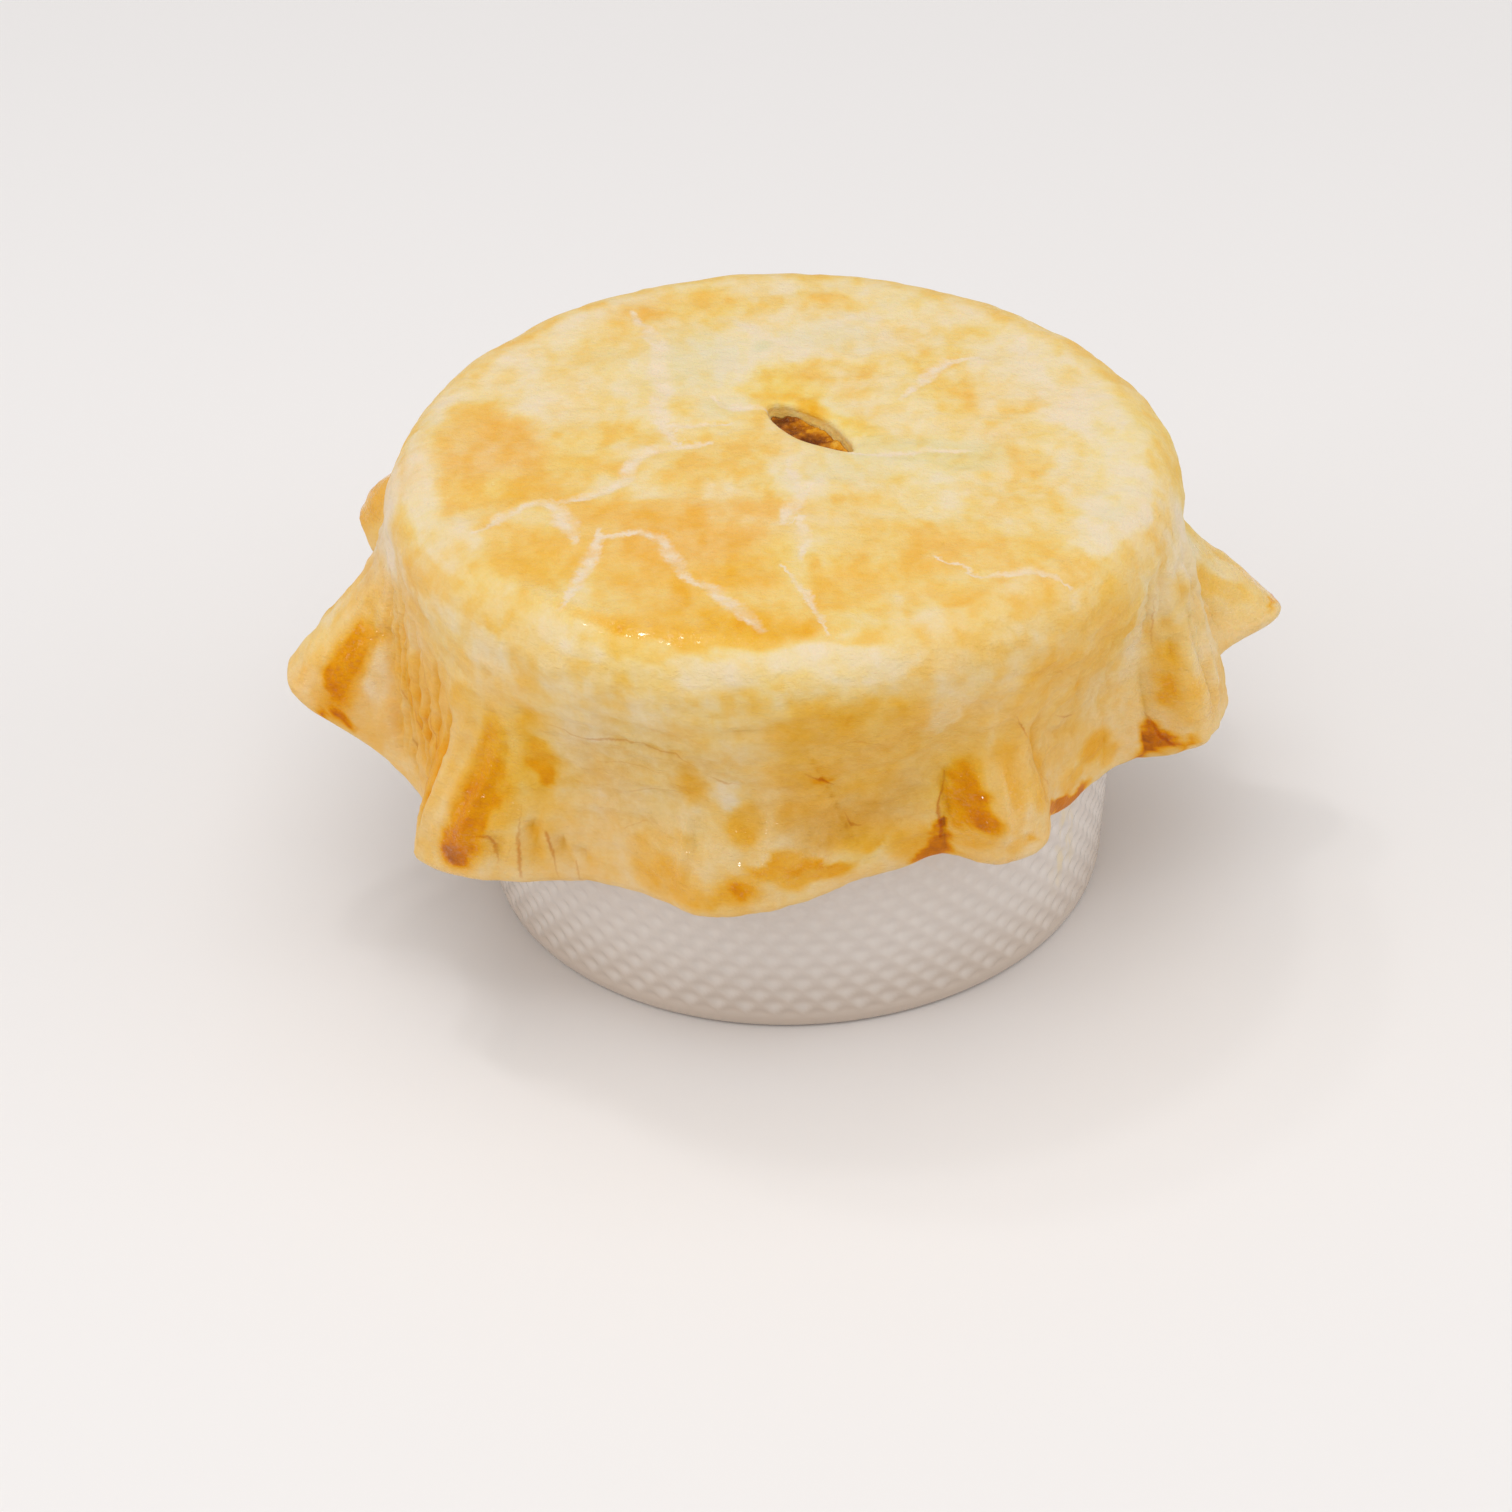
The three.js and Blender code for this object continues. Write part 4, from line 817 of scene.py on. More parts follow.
def crease_depths(points, azimuth, drop):
    """How deep the wrinkles and the cross creases are, in mm: mounds along lines that wander a little."""
    crease = np.zeros(drop.shape)
    wander = WRINKLE_WANDER * smooth_noise(points, WRINKLE_SEED, WRINKLE_WANDER_PITCH)
    for at, start, end, drift, depth, half_width in WRINKLES:
        share = (drop - start) / (end - start)
        fade = soft_step(share * WRINKLE_FADE) * soft_step((1.0 - share) * WRINKLE_FADE + WRINKLE_OPEN_END)
        away = LID_RADIUS * np.radians(wrap(azimuth - at - drift * share)) + wander
        crease = crease + depth * fade * mound(away, half_width)
    wander = CROSS_WANDER * smooth_noise(points, CROSS_SEED, CROSS_WANDER_PITCH)
    for at, down, half, tilt, depth in CROSS_CREASES:
        along = wrap(azimuth - at) / half
        away = (drop - down - tilt * along) * CROSS_DROP_LENGTH + wander
        crease = crease + depth * mound(away, CROSS_HALF_WIDTH) * np.exp(-(along**4))
    return crease


def lid_relief(points, azimuth):
    """Height in mm of the ledge round the brushed field, less the cracks' grooves, plus their banks."""
    x, y = points[..., 0], points[..., 1]
    near, width = line_distances(x, y, CRACKS)[1:]
    groove = CRACK_DEPTH * mound(near, np.maximum(width, CRACK_LEAST_WIDTH))
    bank = BANK_HEIGHT * mound(near - BANK_AT, BANK_SPREAD)
    radius = np.hypot(x, y) + LEDGE_WANDER * smooth_noise(points, LEDGE_SEED, LEDGE_WANDER_PITCH)
    ledge = LEDGE_HEIGHT * rise(radius, LEDGE_RADIUS, LEDGE_RADIUS - LEDGE_SLOPE)
    return ledge * mound(wrap(azimuth - LEDGE_AT), LEDGE_SPREAD) - groove + bank


def skirt_relief(azimuth, drop, z):
    """Height in mm of the flaky layers, which thin out on the folds, and of the strands drawn down them."""
    ridges = 1.0 - np.abs(smooth_noise(around(azimuth, z, *LAYER_PITCH), LAYER_SEED))
    flakes = marbling(around(azimuth, z, *FLAKE_PITCH), FLAKE_SEED)
    layers = LAYER_HEIGHT * ridges**3 + FLAKE_HEIGHT * flakes
    drum = around(azimuth + STREAK_SLANT * drop, z, *STRAND_PITCH)
    strands = noises(drum, ((1.0, 1.0, STRAND_SEED), (FINER_STRANDS, FINER_STRANDS, STRAND_SEED + 1)))
    reach = fold_reach(azimuth, np.clip(drop, 0.0, 1.0))
    drawn = STRAND_HEIGHT + FOLD_STRAND_HEIGHT * rise(reach, *STRANDS_BEGIN) * rise(reach, *STRANDS_END)
    return layers * (1.0 - LAYERS_LOST * rise(reach, *LAYERS_END)) + drawn * strands


def crust_relief(points, azimuth, drop):
    """Height of the pastry's relief over the smooth drape, in mm, and how deep in a crease each point is."""
    outside = rise(drop, *RELIEF_BEGINS) * rise(drop, *RELIEF_ENDS)
    on_lid = rise(drop, *LID_RELIEF)
    on_skirt = rise(drop, *SKIRT_RELIEF) * rise(drop, *SKIRT_RELIEF_ENDS)
    on_skirt = on_skirt * (1.0 - CALM_HEM_LOSS * rise(drop, *CALM_HEM))
    crease = crease_depths(points, azimuth, drop)
    crumbs = marbling(points / np.array(CRUMB_PITCH), CRUMB_SEED)
    height = noises(points, SWELLS) + CRUMB_HEIGHT * crumbs
    height = outside * (height + on_lid * lid_relief(points, azimuth))
    return height + on_skirt * (skirt_relief(azimuth, drop, points[..., 2]) - crease), crease * on_skirt


def make_crust():
    """The draped pastry: the smooth drape moved along its normals by the relief."""
    smooth, azimuth, drop = crust_grid()
    height, crease = crust_relief(smooth, azimuth, drop)
    points = smooth + grid_normals(smooth) * height[..., None]
    stray = wandering(smooth, LINE_SEED)
    plan = [smooth[..., way] + CRACK_STRAY * stray[way] for way in (0, 1)]
    crack_side, crack_near, crack_width = line_distances(*plan, CRACKS)
    unrolled = [np.array(line) * (DEGREE_LENGTH, DROP_LENGTH, 1.0) for line in SKIRT_LINES]
    along, down = azimuth * DEGREE_LENGTH + LINE_STRAY * stray[0], drop * DROP_LENGTH + LINE_STRAY * stray[1]
    line_side, line_near, line_width = line_distances(along, down, unrolled)
    none = np.zeros(drop.shape)
    bake = crust_bake(smooth, azimuth, drop)
    return ring_piece("pastry", points, {
        "bake": bake,
        "hue": crust_hue(smooth, azimuth, drop, bake),
        "dull_and_shade": lay_on_skirt(none, azimuth, drop, DULL_AND_SHADE_PATCHES, stray, WET_SOFTNESS),
        "wet": lay_on_skirt(none, azimuth, drop, WET_PATCHES, stray, WET_SOFTNESS),
        "thin": np.where(drop < THIN_ABOVE, lay_patches(none, *plan, THIN_PATCHES, LID_SOFTNESS), 0.0),
        "crack_side": crack_side,
        "crack_near": np.where(drop < CRACKS_ABOVE, crack_near, NO_CRACK),
        "crack_width": crack_width,
        "line_side": line_side,
        "line_near": line_near,
        "line_width": line_width,
        "crease": crease,
    }, capped=False)


# ---- the ramekin ----

DISH_WALL = 5.0
DISH_FLOOR = 6.0
DISH_FOOT_ROUND, DISH_RIM_ROUND, DISH_INSIDE_ROUND = 1.6, 1.6, 7.0
DISH_BASE_RADII, DISH_FLOOR_RADII = (0.5, 16.0, 32.0, 44.0, 46.5), (20.0, 0.5)
DIAMONDS_ROUND, DIAMOND_HEIGHT = 70, 4.82
LATTICE_FOOT, LATTICE_DEPTH, LOWER_DEPTH = 3.0, 0.45, 0.8
# Where the painted highlight on each diamond's lower edge sets in, and how fast.
LOWER_EDGE_FROM, LOWER_EDGE_SLOPE = 0.3, 1.6
# The heights between which the lattice sets in and runs out, and the dribble of egg wash as well.
LATTICE_BEGINS, LATTICE_ENDS = (2.4, 3.4), (DISH_HEIGHT - 5.0, DISH_HEIGHT - 6.0)
SPILL_BEGINS, SPILL_ENDS = (8.0, 16.0), (42.0, 34.0)
SPILL_AT, SPILL_SPREAD = 55.0, 3.0
# Painted shade darkens the dish from the floor up to this height, in mm.
FOOT_SHADE = 18.0


def lattice_relief(azimuth, z):
    """How deep the diamonds are pressed, the product of two cosines, deeper low down; and the lower edges,
    where a highlight is painted.
    """
    across, up = azimuth / 360.0 * DIAMONDS_ROUND, z / DIAMOND_HEIGHT
    one_way, other_way = (across + up) % 1.0 - 0.5, (across - up) % 1.0 - 0.5
    scoop, over_middle = np.cos(np.pi * one_way) * np.cos(np.pi * other_way), one_way - other_way
    lower_edge_highlight = np.sqrt(scoop) * soft_step(LOWER_EDGE_FROM - LOWER_EDGE_SLOPE * over_middle)
    return scoop * (1.0 - LOWER_DEPTH * over_middle), lower_edge_highlight


def arc(middle, height, size, start, end, count):
    """Radius and height along a round corner: its middle + size x (cos t, sin t), with t in quarter turns."""
    turns = np.linspace(start, end, count) * np.pi / 2
    return [(middle + size * np.cos(t), height + size * np.sin(t)) for t in turns]


def dish_profile():
    """Radius and height along the dish's section: base, foot, wall, rim, inside wall and floor."""
    rim_z = DISH_HEIGHT - DISH_RIM_ROUND
    floor_z = DISH_FLOOR + DISH_INSIDE_ROUND
    inside = dish_radius(floor_z) - DISH_WALL
    low_wall = blend(DISH_FOOT_ROUND, DISH_FINE_TO, steps(DISH_LOW_ROWS))
    wall = np.concatenate([low_wall, blend(DISH_FINE_TO, rim_z, steps(DISH_HIGH_ROWS))])
    return np.array(
        [(radius, 0.0) for radius in DISH_BASE_RADII]
        + arc(DISH_FOOT_RADIUS - DISH_FOOT_ROUND, DISH_FOOT_ROUND, DISH_FOOT_ROUND, -1, 0, 6)
        + [(dish_radius(z), z) for z in wall]
        + arc(DISH_RIM_RADIUS - DISH_RIM_ROUND, rim_z, DISH_RIM_ROUND, 0, 1, 6)[1:]
        + arc(DISH_RIM_RADIUS - DISH_WALL + DISH_RIM_ROUND, rim_z, DISH_RIM_ROUND, 1, 2, 6)
        + arc(inside - DISH_INSIDE_ROUND, floor_z, DISH_INSIDE_ROUND, 0, -1, 7)
        + [(radius, DISH_FLOOR) for radius in DISH_FLOOR_RADII]
    )


def make_dish():
    """The ramekin: its profile turned about the axis, with the lattice pressed into the outer wall."""
    profile = dish_profile()
    columns = np.linspace(-180.0, 180.0, DISH_COLUMNS, endpoint=False)
    azimuth, radius, z = np.broadcast_arrays(columns, profile[:, :1], profile[:, 1:])
    outer = (np.abs(radius - dish_radius(z)) < 1e-6).astype(float)
    pressed = rise(z, *LATTICE_BEGINS) * rise(z, *LATTICE_ENDS) * outer
    spill = rise(z, *SPILL_BEGINS) * rise(z, *SPILL_ENDS) * outer
    depth, lower_edge_highlight = lattice_relief(azimuth, z - LATTICE_FOOT)
    points = polar(azimuth, radius - LATTICE_DEPTH * pressed * depth, z)
    return ring_piece("ramekin", points, {
        "lower_edge_highlight": pressed * lower_edge_highlight,
        "spill": spill * mound(wrap(azimuth - SPILL_AT), SPILL_SPREAD),
        # Painted shade at the foot: 1 at the floor, fading out upwards.
        "foot": rise(z, FOOT_SHADE, 0.0),
    }, capped=True)


# ---- the filling ----

GRAVY_Z = 74.1
GRAVY_WELLS_UP = 0.9
GRAVY_LUMPS = ((0.9, 2.1, 61), (0.4, 0.9, 67))
LUMP_HEIGHT, LUMP_LOWEST, LUMP_HIGHEST = 0.7, -1.3, 0.7
# How far inside the filling's radius its floor, its rounded corner, its wall and its top edge lie.
FLOOR_INSET, CORNER_INSET, WALL_INSET, TOP_INSET = 9.0, 4.0, 0.5, 1.2
CORNER_RISE, WALL_FROM = 7.0, 30.0
# How far below the dish's rim the wall ends and the top's outer and inner edge lie.
WALL_BELOW, TOP_BELOW, WELL_BELOW = 1.2, 0.3, 0.1
# How far the top's inner edge, the neck in the slit and the gravy at its top stand off the slit's outline.
WELL_GROWN, NECK_GROWN, GRAVY_GROWN = 0.6, -0.2, 0.15
# The heights over the dish's rim between which the lumps set in.
LUMPS_FROM = (0.1, 1.7)
# How much paler the gravy is painted across the slit, with painted shade on its near side, and along it, than
# what, and how much darker it is at one end.
PALER_ACROSS, PALER_ALONG, SHADE_OFFSET = 0.75, 0.1, -0.12
DARK_END, DARK_END_AT, DARK_END_SPREAD = 1.1, -0.7, 0.17


def make_filling():
    """The filling: it fills the dish to the rim and wells up, lumpy and wet, inside the slit."""
    azimuth = np.linspace(-180.0, 180.0, FILLING_COLUMNS, endpoint=False)
    floor = FILLING_RADIUS - FLOOR_INSET
    rings = [polar(azimuth, share * floor, FILLING_FLOOR) for share in (0.01, 0.4, 0.8, 1.0)]
    rings += [polar(azimuth, FILLING_RADIUS - CORNER_INSET, FILLING_FLOOR + CORNER_RISE)]
    wall = np.linspace(WALL_FROM, DISH_HEIGHT - WALL_BELOW, 6)
    rings += [polar(azimuth, FILLING_RADIUS - WALL_INSET, z) for z in wall]
    outer = polar(azimuth, FILLING_RADIUS - TOP_INSET, DISH_HEIGHT - TOP_BELOW)
    inner = slit_ring(azimuth, WELL_GROWN, DISH_HEIGHT - WELL_BELOW)
    rings += [blend(outer, inner, share) for share in np.linspace(0.0, 1.0, 8)]
    risen = (GRAVY_Z - LID_UNDERSIDE) / (LID_TOP - SLIT_LIP - LID_UNDERSIDE)
    in_slit = slit_ring(azimuth, GRAVY_GROWN - SLIT_NARROWING * (1.0 - risen), GRAVY_Z)
    neck = slit_ring(azimuth, NECK_GROWN - SLIT_NARROWING, LID_UNDERSIDE - NECK_GROWN)
    rings += [blend(inner, neck, share) for share in (0.3, 0.7, 1.0)]
    rings += [blend(neck, in_slit, share) for share in (0.4, 0.8)]
    middle = np.array([*SLIT_MIDDLE, GRAVY_Z])
    rings += [blend(middle, in_slit, share) for share in np.linspace(1.0, 0.01, GRAVY_ROWS)]
    points = np.array(rings)
    lumps = noises(points, GRAVY_LUMPS)
    shown = rise(points[..., 2] - DISH_HEIGHT, *LUMPS_FROM)
    points[..., 2] += shown * (GRAVY_WELLS_UP + LUMP_HEIGHT * np.clip(lumps, LUMP_LOWEST, LUMP_HIGHEST))
    along, across = ((points[..., :2] - SLIT_MIDDLE) @ axis for axis in slit_axes())
    along, across = along / (SLIT_LENGTH / 2), across / (SLIT_WIDTH / 2)
    # Painted shade: darker along the slit's near side and at one end.
    shade = PALER_ACROSS * across + PALER_ALONG * along + SHADE_OFFSET
    shade = shade - DARK_END * mound(along - DARK_END_AT, DARK_END_SPREAD)
    return ring_piece("gravy_filling", points, {"lump_and_shade": lumps + shade}, capped=True)


# ---- materials ----

UNEVEN_GROUP = "uneven_surface"
RELIEF_GROUP = "fine_relief"


class Tree:
    """The nodes of a material or a group, with short ways to place the usual ones."""

    def __init__(self, tree):
        self.nodes, self.links = tree.nodes, tree.links

    def feed(self, node, values):
        """Links each of the node's inputs to a socket, or sets it to a number, a vector or a colour."""
        for label, value in values.items():
            socket = node.inputs[label]
            if isinstance(value, bpy.types.NodeSocket):
                self.links.new(value, socket)
            elif socket.type == "RGBA":
                socket.default_value = (*value, 1.0)
            else:
                socket.default_value = value

    def add(self, kind, values, **settings):
        """A new node with its settings and its inputs."""
        node = self.nodes.new("ShaderNode" + kind)
        for label, value in settings.items():
            setattr(node, label, value)
        self.feed(node, values)
        return node

    def attribute(self, name):
        """A point value of the mesh."""
        return self.add("Attribute", {}, attribute_name=name).outputs["Fac"]

    def math(self, operation, *values, clamp=False):
        """A sum, product or the like of sockets and numbers."""
        return self.add("Math", dict(enumerate(values)), operation=operation, use_clamp=clamp).outputs[0]

    def mix(self, share, first, second, kind="MIX"):
        """A mix of two colours."""
        values = {0: share, 6: first, 7: second}
        return self.add("Mix", values, data_type="RGBA", blend_type=kind).outputs[2]

    def spread(self, value, low, high, to_low=0.0, to_high=1.0):
        """The range from low to high led softly to another, and held at its ends."""
        values = {"Value": value, "From Min": low, "From Max": high, "To Min": to_low, "To Max": to_high}
        return self.add("MapRange", values, interpolation_type="SMOOTHSTEP").outputs["Result"]

    def ramp(self, level, stops):
        """A colour for each level, from stops of a place and a colour."""
        node = self.add("ValToRGB", {"Fac": level})
        while len(node.color_ramp.elements) < len(stops):
            node.color_ramp.elements.new(0.5)
        for element, (place, colour) in zip(node.color_ramp.elements, stops):
            element.position, element.color = place, (*colour, 1.0)
        return node.outputs["Color"]

    def uneven(self, cells, detail=2.0, roughness=0.5, stretch=(1.0, 1.0, 1.0)):
        """The unevenness group with its own values; gives a value from -0.5 to 0.5."""
        values = {"Cells per metre": cells, "Detail": detail, "Roughness": roughness, "Stretch": stretch}
        return self.add("Group", values, node_tree=bpy.data.node_groups[UNEVEN_GROUP]).outputs[0]

    def relief(self, cells, finer_cells, finer_share, strength, depth, stretch=(1.0, 1.0, 1.0)):
        """The fine relief group with its own values; gives a normal."""
        values = {
            "Cells per metre": cells, "Finer cells per metre": finer_cells, "Finer share": finer_share,
            "Strength": strength, "Depth": depth, "Stretch": stretch,
        }
        return self.add("Group", values, node_tree=bpy.data.node_groups[RELIEF_GROUP]).outputs[0]


def new_group(name, inputs, output, output_kind):
    """A node group with an input for each number or vector, set to it, and one output."""
    group = bpy.data.node_groups.new(name, "ShaderNodeTree")
    for label, value in inputs.items():
        kind = "NodeSocketVector" if isinstance(value, tuple) else "NodeSocketFloat"
        group.interface.new_socket(label, in_out="INPUT", socket_type=kind).default_value = value
    group.interface.new_socket(output, in_out="OUTPUT", socket_type=output_kind)
    return Tree(group), group.nodes.new("NodeGroupInput").outputs, group.nodes.new("NodeGroupOutput")


def make_uneven_group():
    """Uneven colour or gloss: noise on the object's stretched coordinates, from -0.5 to 0.5."""
    inputs = {"Cells per metre": 500.0, "Detail": 2.0, "Roughness": 0.5, "Stretch": (1.0, 1.0, 1.0)}
    tree, given, result = new_group(UNEVEN_GROUP, inputs, "Unevenness", "NodeSocketFloat")
    place = tree.add("TexCoord", {}).outputs["Object"]
    stretched = tree.add("Mapping", {"Vector": place, "Scale": given["Stretch"]}).outputs["Vector"]
    texture = tree.add("TexNoise", {
        "Vector": stretched, "Scale": given["Cells per metre"],
        "Detail": given["Detail"], "Roughness": given["Roughness"],
    })
    tree.feed(result, {"Unevenness": tree.math("SUBTRACT", texture.outputs["Fac"], 0.5)})


def make_relief_group():
    """Fine relief: two sizes of unevenness added up, and read as a height that tilts the surface's normal."""
    inputs = {
        "Cells per metre": 500.0, "Finer cells per metre": 1500.0, "Finer share": 0.3,
        "Stretch": (1.0, 1.0, 1.0), "Strength": 1.0, "Depth": 0.0005,
    }
    tree, given, result = new_group(RELIEF_GROUP, inputs, "Normal", "NodeSocketVector")
    stretch = given["Stretch"]
    coarse = tree.uneven(given["Cells per metre"], detail=4.0, roughness=0.6, stretch=stretch)
    fine = tree.uneven(given["Finer cells per metre"], detail=3.0, roughness=0.6, stretch=stretch)
    height = tree.math("MULTIPLY_ADD", fine, given["Finer share"], coarse)
    bump = tree.add("Bump", {"Strength": given["Strength"], "Distance": given["Depth"], "Height": height})
    tree.feed(result, {"Normal": bump.outputs["Normal"]})


def new_material(name):
    """A material with nothing in it but a Principled shader and its output."""
    material = bpy.data.materials.new(name)
    material.use_nodes = True
    return material, Tree(material.node_tree), material.node_tree.nodes["Principled BSDF"]


# Colours from unbaked (0) to dark brown (1), where the pastry is lemon and where it is rosy.
LEMON_COLOURS = (
    (0.0, (0.80, 0.675, 0.45)), (0.2, (0.81, 0.66, 0.34)), (0.42, (0.815, 0.61, 0.205)),
    (0.58, (0.82, 0.535, 0.10)), (0.72, (0.81, 0.45, 0.025)), (0.82, (0.78, 0.345, 0.003)),
    (0.91, (0.68, 0.23, 0.001)), (1.0, (0.42, 0.105, 0.002)),
)
ROSY_COLOURS = (
    (0.0, (0.81, 0.645, 0.46)), (0.2, (0.81, 0.62, 0.375)), (0.42, (0.81, 0.55, 0.245)),
    (0.58, (0.81, 0.48, 0.135)), (0.72, (0.795, 0.40, 0.05)), (0.82, (0.76, 0.30, 0.004)),
    (0.91, (0.62, 0.18, 0.006)), (1.0, (0.38, 0.10, 0.012)),
)
CRACK_COLOUR = (0.81, 0.66, 0.475)
THIN_COLOUR = (0.62, 0.60, 0.36)
PAINTED_LINE_SHADE = (0.74, 0.46, 0.24)
SHADE_AND_DULL_TINT = (0.85, 0.83, 0.85)
PASTRY_SHINE = (1.0, 0.75, 0.2)
# How much flecks add to the mottling, how much painted shade a crease gets, and how mottled the duller,
# shaded places and the wet ones are.
FLECK_SHARE, CREASE_SHADE_PAINT, DULL_AND_SHADE_MOTTLING, WET_MOTTLING = 0.45, 0.14, 0.8, 1.6
THIN_SHARE = 0.45
# How mottled the browning is, from pale levels to baked ones, and how ragged cracks and lines are in mm.
MOTTLED_LEVELS, MOTTLING = (0.4, 0.7), (0.26, 0.13)
CRACK_RAGGEDNESS, FINER_RAGGEDNESS, LINE_RAGGEDNESS = 1.7, 1.1, 0.6


def pastry_material():
    """Egg-washed pastry: baked colours, rosy to lemon, with pale cracks, a duller tan with painted shade
    below the edge, painted shade in creases and thin lines, and wet bright ones.
    """
    material, tree, shader = new_material("baked_pastry")
    bake, wet = tree.attribute("bake"), tree.attribute("wet")
    mottle = tree.uneven(480.0, detail=3.0, roughness=0.6)
    fleck = tree.uneven(1400.0, roughness=0.6, stretch=(0.8, 1.0, 1.2))
    mixed = tree.math("MULTIPLY_ADD", fleck, FLECK_SHARE, mottle)
    level = tree.math("MULTIPLY_ADD", mixed, tree.spread(bake, *MOTTLED_LEVELS, *MOTTLING), bake)
    # Painted shade: the level is raised, browner and darker, with the depth of the crease.
    level = tree.math("MULTIPLY_ADD", tree.attribute("crease"), CREASE_SHADE_PAINT, level, clamp=True)
    colour = tree.mix(tree.attribute("hue"), tree.ramp(level, ROSY_COLOURS), tree.ramp(level, LEMON_COLOURS))
    # Painted shade, with a duller tan: these places are multiplied towards a grey.
    dull_and_shade = tree.math("MULTIPLY_ADD", mottle, DULL_AND_SHADE_MOTTLING, tree.attribute("dull_and_shade"))
    colour = tree.mix(tree.spread(dull_and_shade, 0.0, 1.0), colour, SHADE_AND_DULL_TINT, "MULTIPLY")
    colour = tree.mix(tree.math("MULTIPLY", tree.attribute("thin"), THIN_SHARE), colour, THIN_COLOUR)
    # Painted shade along the skirt's thin cracks and wrinkles.
    colour = tree.mix(line_shade_mask(tree), colour, PAINTED_LINE_SHADE, "MULTIPLY")
    colour = tree.mix(crack_mask(tree), colour, CRACK_COLOUR)
    uneven_wet = tree.math("MULTIPLY_ADD", mottle, WET_MOTTLING, wet)
    tree.feed(shader, {
        "Base Color": colour,
        "Roughness": tree.spread(uneven_wet, 0.1, 0.9, to_low=0.5, to_high=0.16),
        "Coat Weight": tree.math("MULTIPLY", tree.spread(fleck, 0.02, 0.12), wet),
        "Coat Roughness": 0.08,
        "Specular IOR Level": 0.2,
        "Specular Tint": PASTRY_SHINE,
        "Subsurface Weight": 0.1,
        "Subsurface Radius": (1.0, 0.5, 0.2),
        "Subsurface Scale": 0.003,
        "Normal": tree.relief(330.0, 1000.0, 0.45, strength=0.75, depth=0.0006, stretch=(1.0, 1.0, 1.8)),
    })
    return material


def near_line(tree, kind, from_line, cut, close):
    """Falls to 0 across a line, by shares of its width, and again a little way off, by mm."""
    shares = tree.math("DIVIDE", tree.math("ABSOLUTE", from_line), tree.attribute(kind + "_width"))
    beside = tree.spread(tree.attribute(kind + "_near"), *close, 1.0, 0.0)
    return tree.math("MULTIPLY", tree.spread(shares, *cut, 1.0, 0.0), beside)


def crack_mask(tree):
    """1 along the middle of a crack, with ragged edges and faint stretches, falling to 0 away from it."""
    ragged = tree.math("MULTIPLY", tree.uneven(380.0), CRACK_RAGGEDNESS)
    ragged = tree.math("MULTIPLY_ADD", tree.uneven(1300.0, detail=1.0), FINER_RAGGEDNESS, ragged)
    from_line = tree.math("ADD", tree.attribute("crack_side"), ragged)
    faint = tree.spread(tree.uneven(300.0), -0.15, 0.12, to_low=0.4, to_high=0.95)
    near = near_line(tree, "crack", from_line, cut=(0.2, 2.2), close=(1.1, 2.4))
    return tree.math("MULTIPLY", near, faint)


def line_shade_mask(tree):
    """Strongest along the middle of a thin line of painted shade, falling to 0 just beside it; wide lines are
    darker.
    """
    from_line = tree.math("MULTIPLY_ADD", tree.uneven(900.0), LINE_RAGGEDNESS, tree.attribute("line_side"))
    depth = tree.spread(tree.attribute("line_width"), 0.04, 0.26, to_low=0.1, to_high=0.9)
    near = near_line(tree, "line", from_line, cut=(0.1, 1.8), close=(0.45, 0.85))
    return tree.math("MULTIPLY", near, depth)


# The porcelain is white; these warm greys paint in the pie's shade and the warm light bounced off the pastry.
SHADED_PORCELAIN_COLOURS = ((0.675, 0.60, 0.54), (0.715, 0.645, 0.59))
FOOT_SHADE_PAINT_COLOUR = (0.585, 0.475, 0.385)
# A painted highlight along the lower edge of each diamond.
LOWER_EDGE_HIGHLIGHT_COLOUR = (0.84, 0.785, 0.735)
SPILL_COLOUR = (0.76, 0.62, 0.38)
FOOT_SHADE_PAINT_SHARE, LOWER_EDGE_HIGHLIGHT_SHARE = 0.9, 0.55


def porcelain_material():
    """White glazed porcelain, painted a warm grey for the pie's shade and bounced light, with more painted
    shade towards the foot, painted highlights on the diamonds' lower edges and a dribble of egg wash.
    """
    material, tree, shader = new_material("glazed_porcelain")
    colour = tree.mix(tree.math("ADD", tree.uneven(60.0), 0.5), *SHADED_PORCELAIN_COLOURS)
    # Painted shade towards the foot, where the dish meets the floor.
    foot = tree.math("MULTIPLY", tree.attribute("foot"), FOOT_SHADE_PAINT_SHARE)
    colour = tree.mix(foot, colour, FOOT_SHADE_PAINT_COLOUR)
    # Painted highlight on the diamonds' lower edges.
    edge_highlight = tree.math("MULTIPLY", tree.attribute("lower_edge_highlight"), LOWER_EDGE_HIGHLIGHT_SHARE)
    colour = tree.mix(edge_highlight, colour, LOWER_EDGE_HIGHLIGHT_COLOUR)
    streaks = tree.uneven(420.0, detail=3.0, roughness=0.6, stretch=(1.0, 1.0, 0.25))
    streaky = tree.spread(streaks, -0.1, 0.12)
    colour = tree.mix(tree.math("MULTIPLY", streaky, tree.attribute("spill")), colour, SPILL_COLOUR)
    tree.feed(shader, {
        "Base Color": colour,
        "Roughness": tree.spread(tree.uneven(250.0), -0.2, 0.2, to_low=0.14, to_high=0.24),
        "Coat Weight": 0.3,
        "Coat Roughness": 0.06,
        "Normal": tree.relief(500.0, 1200.0, 0.2, strength=0.15, depth=0.0003),
    })
    return material


GRAVY_COLOURS = (
    (0.08, (0.13, 0.022, 0.0)), (0.36, (0.38, 0.105, 0.0)),
    (0.62, (0.7, 0.28, 0.003)), (1.0, (0.82, 0.5, 0.08)),
)
GRAVY_SHINE = (1.0, 0.6, 0.2)
GRAVY_LEVEL, LUMP_AND_SHADE_SHARE, GRAVY_MOTTLING = 0.45, 0.35, 0.8


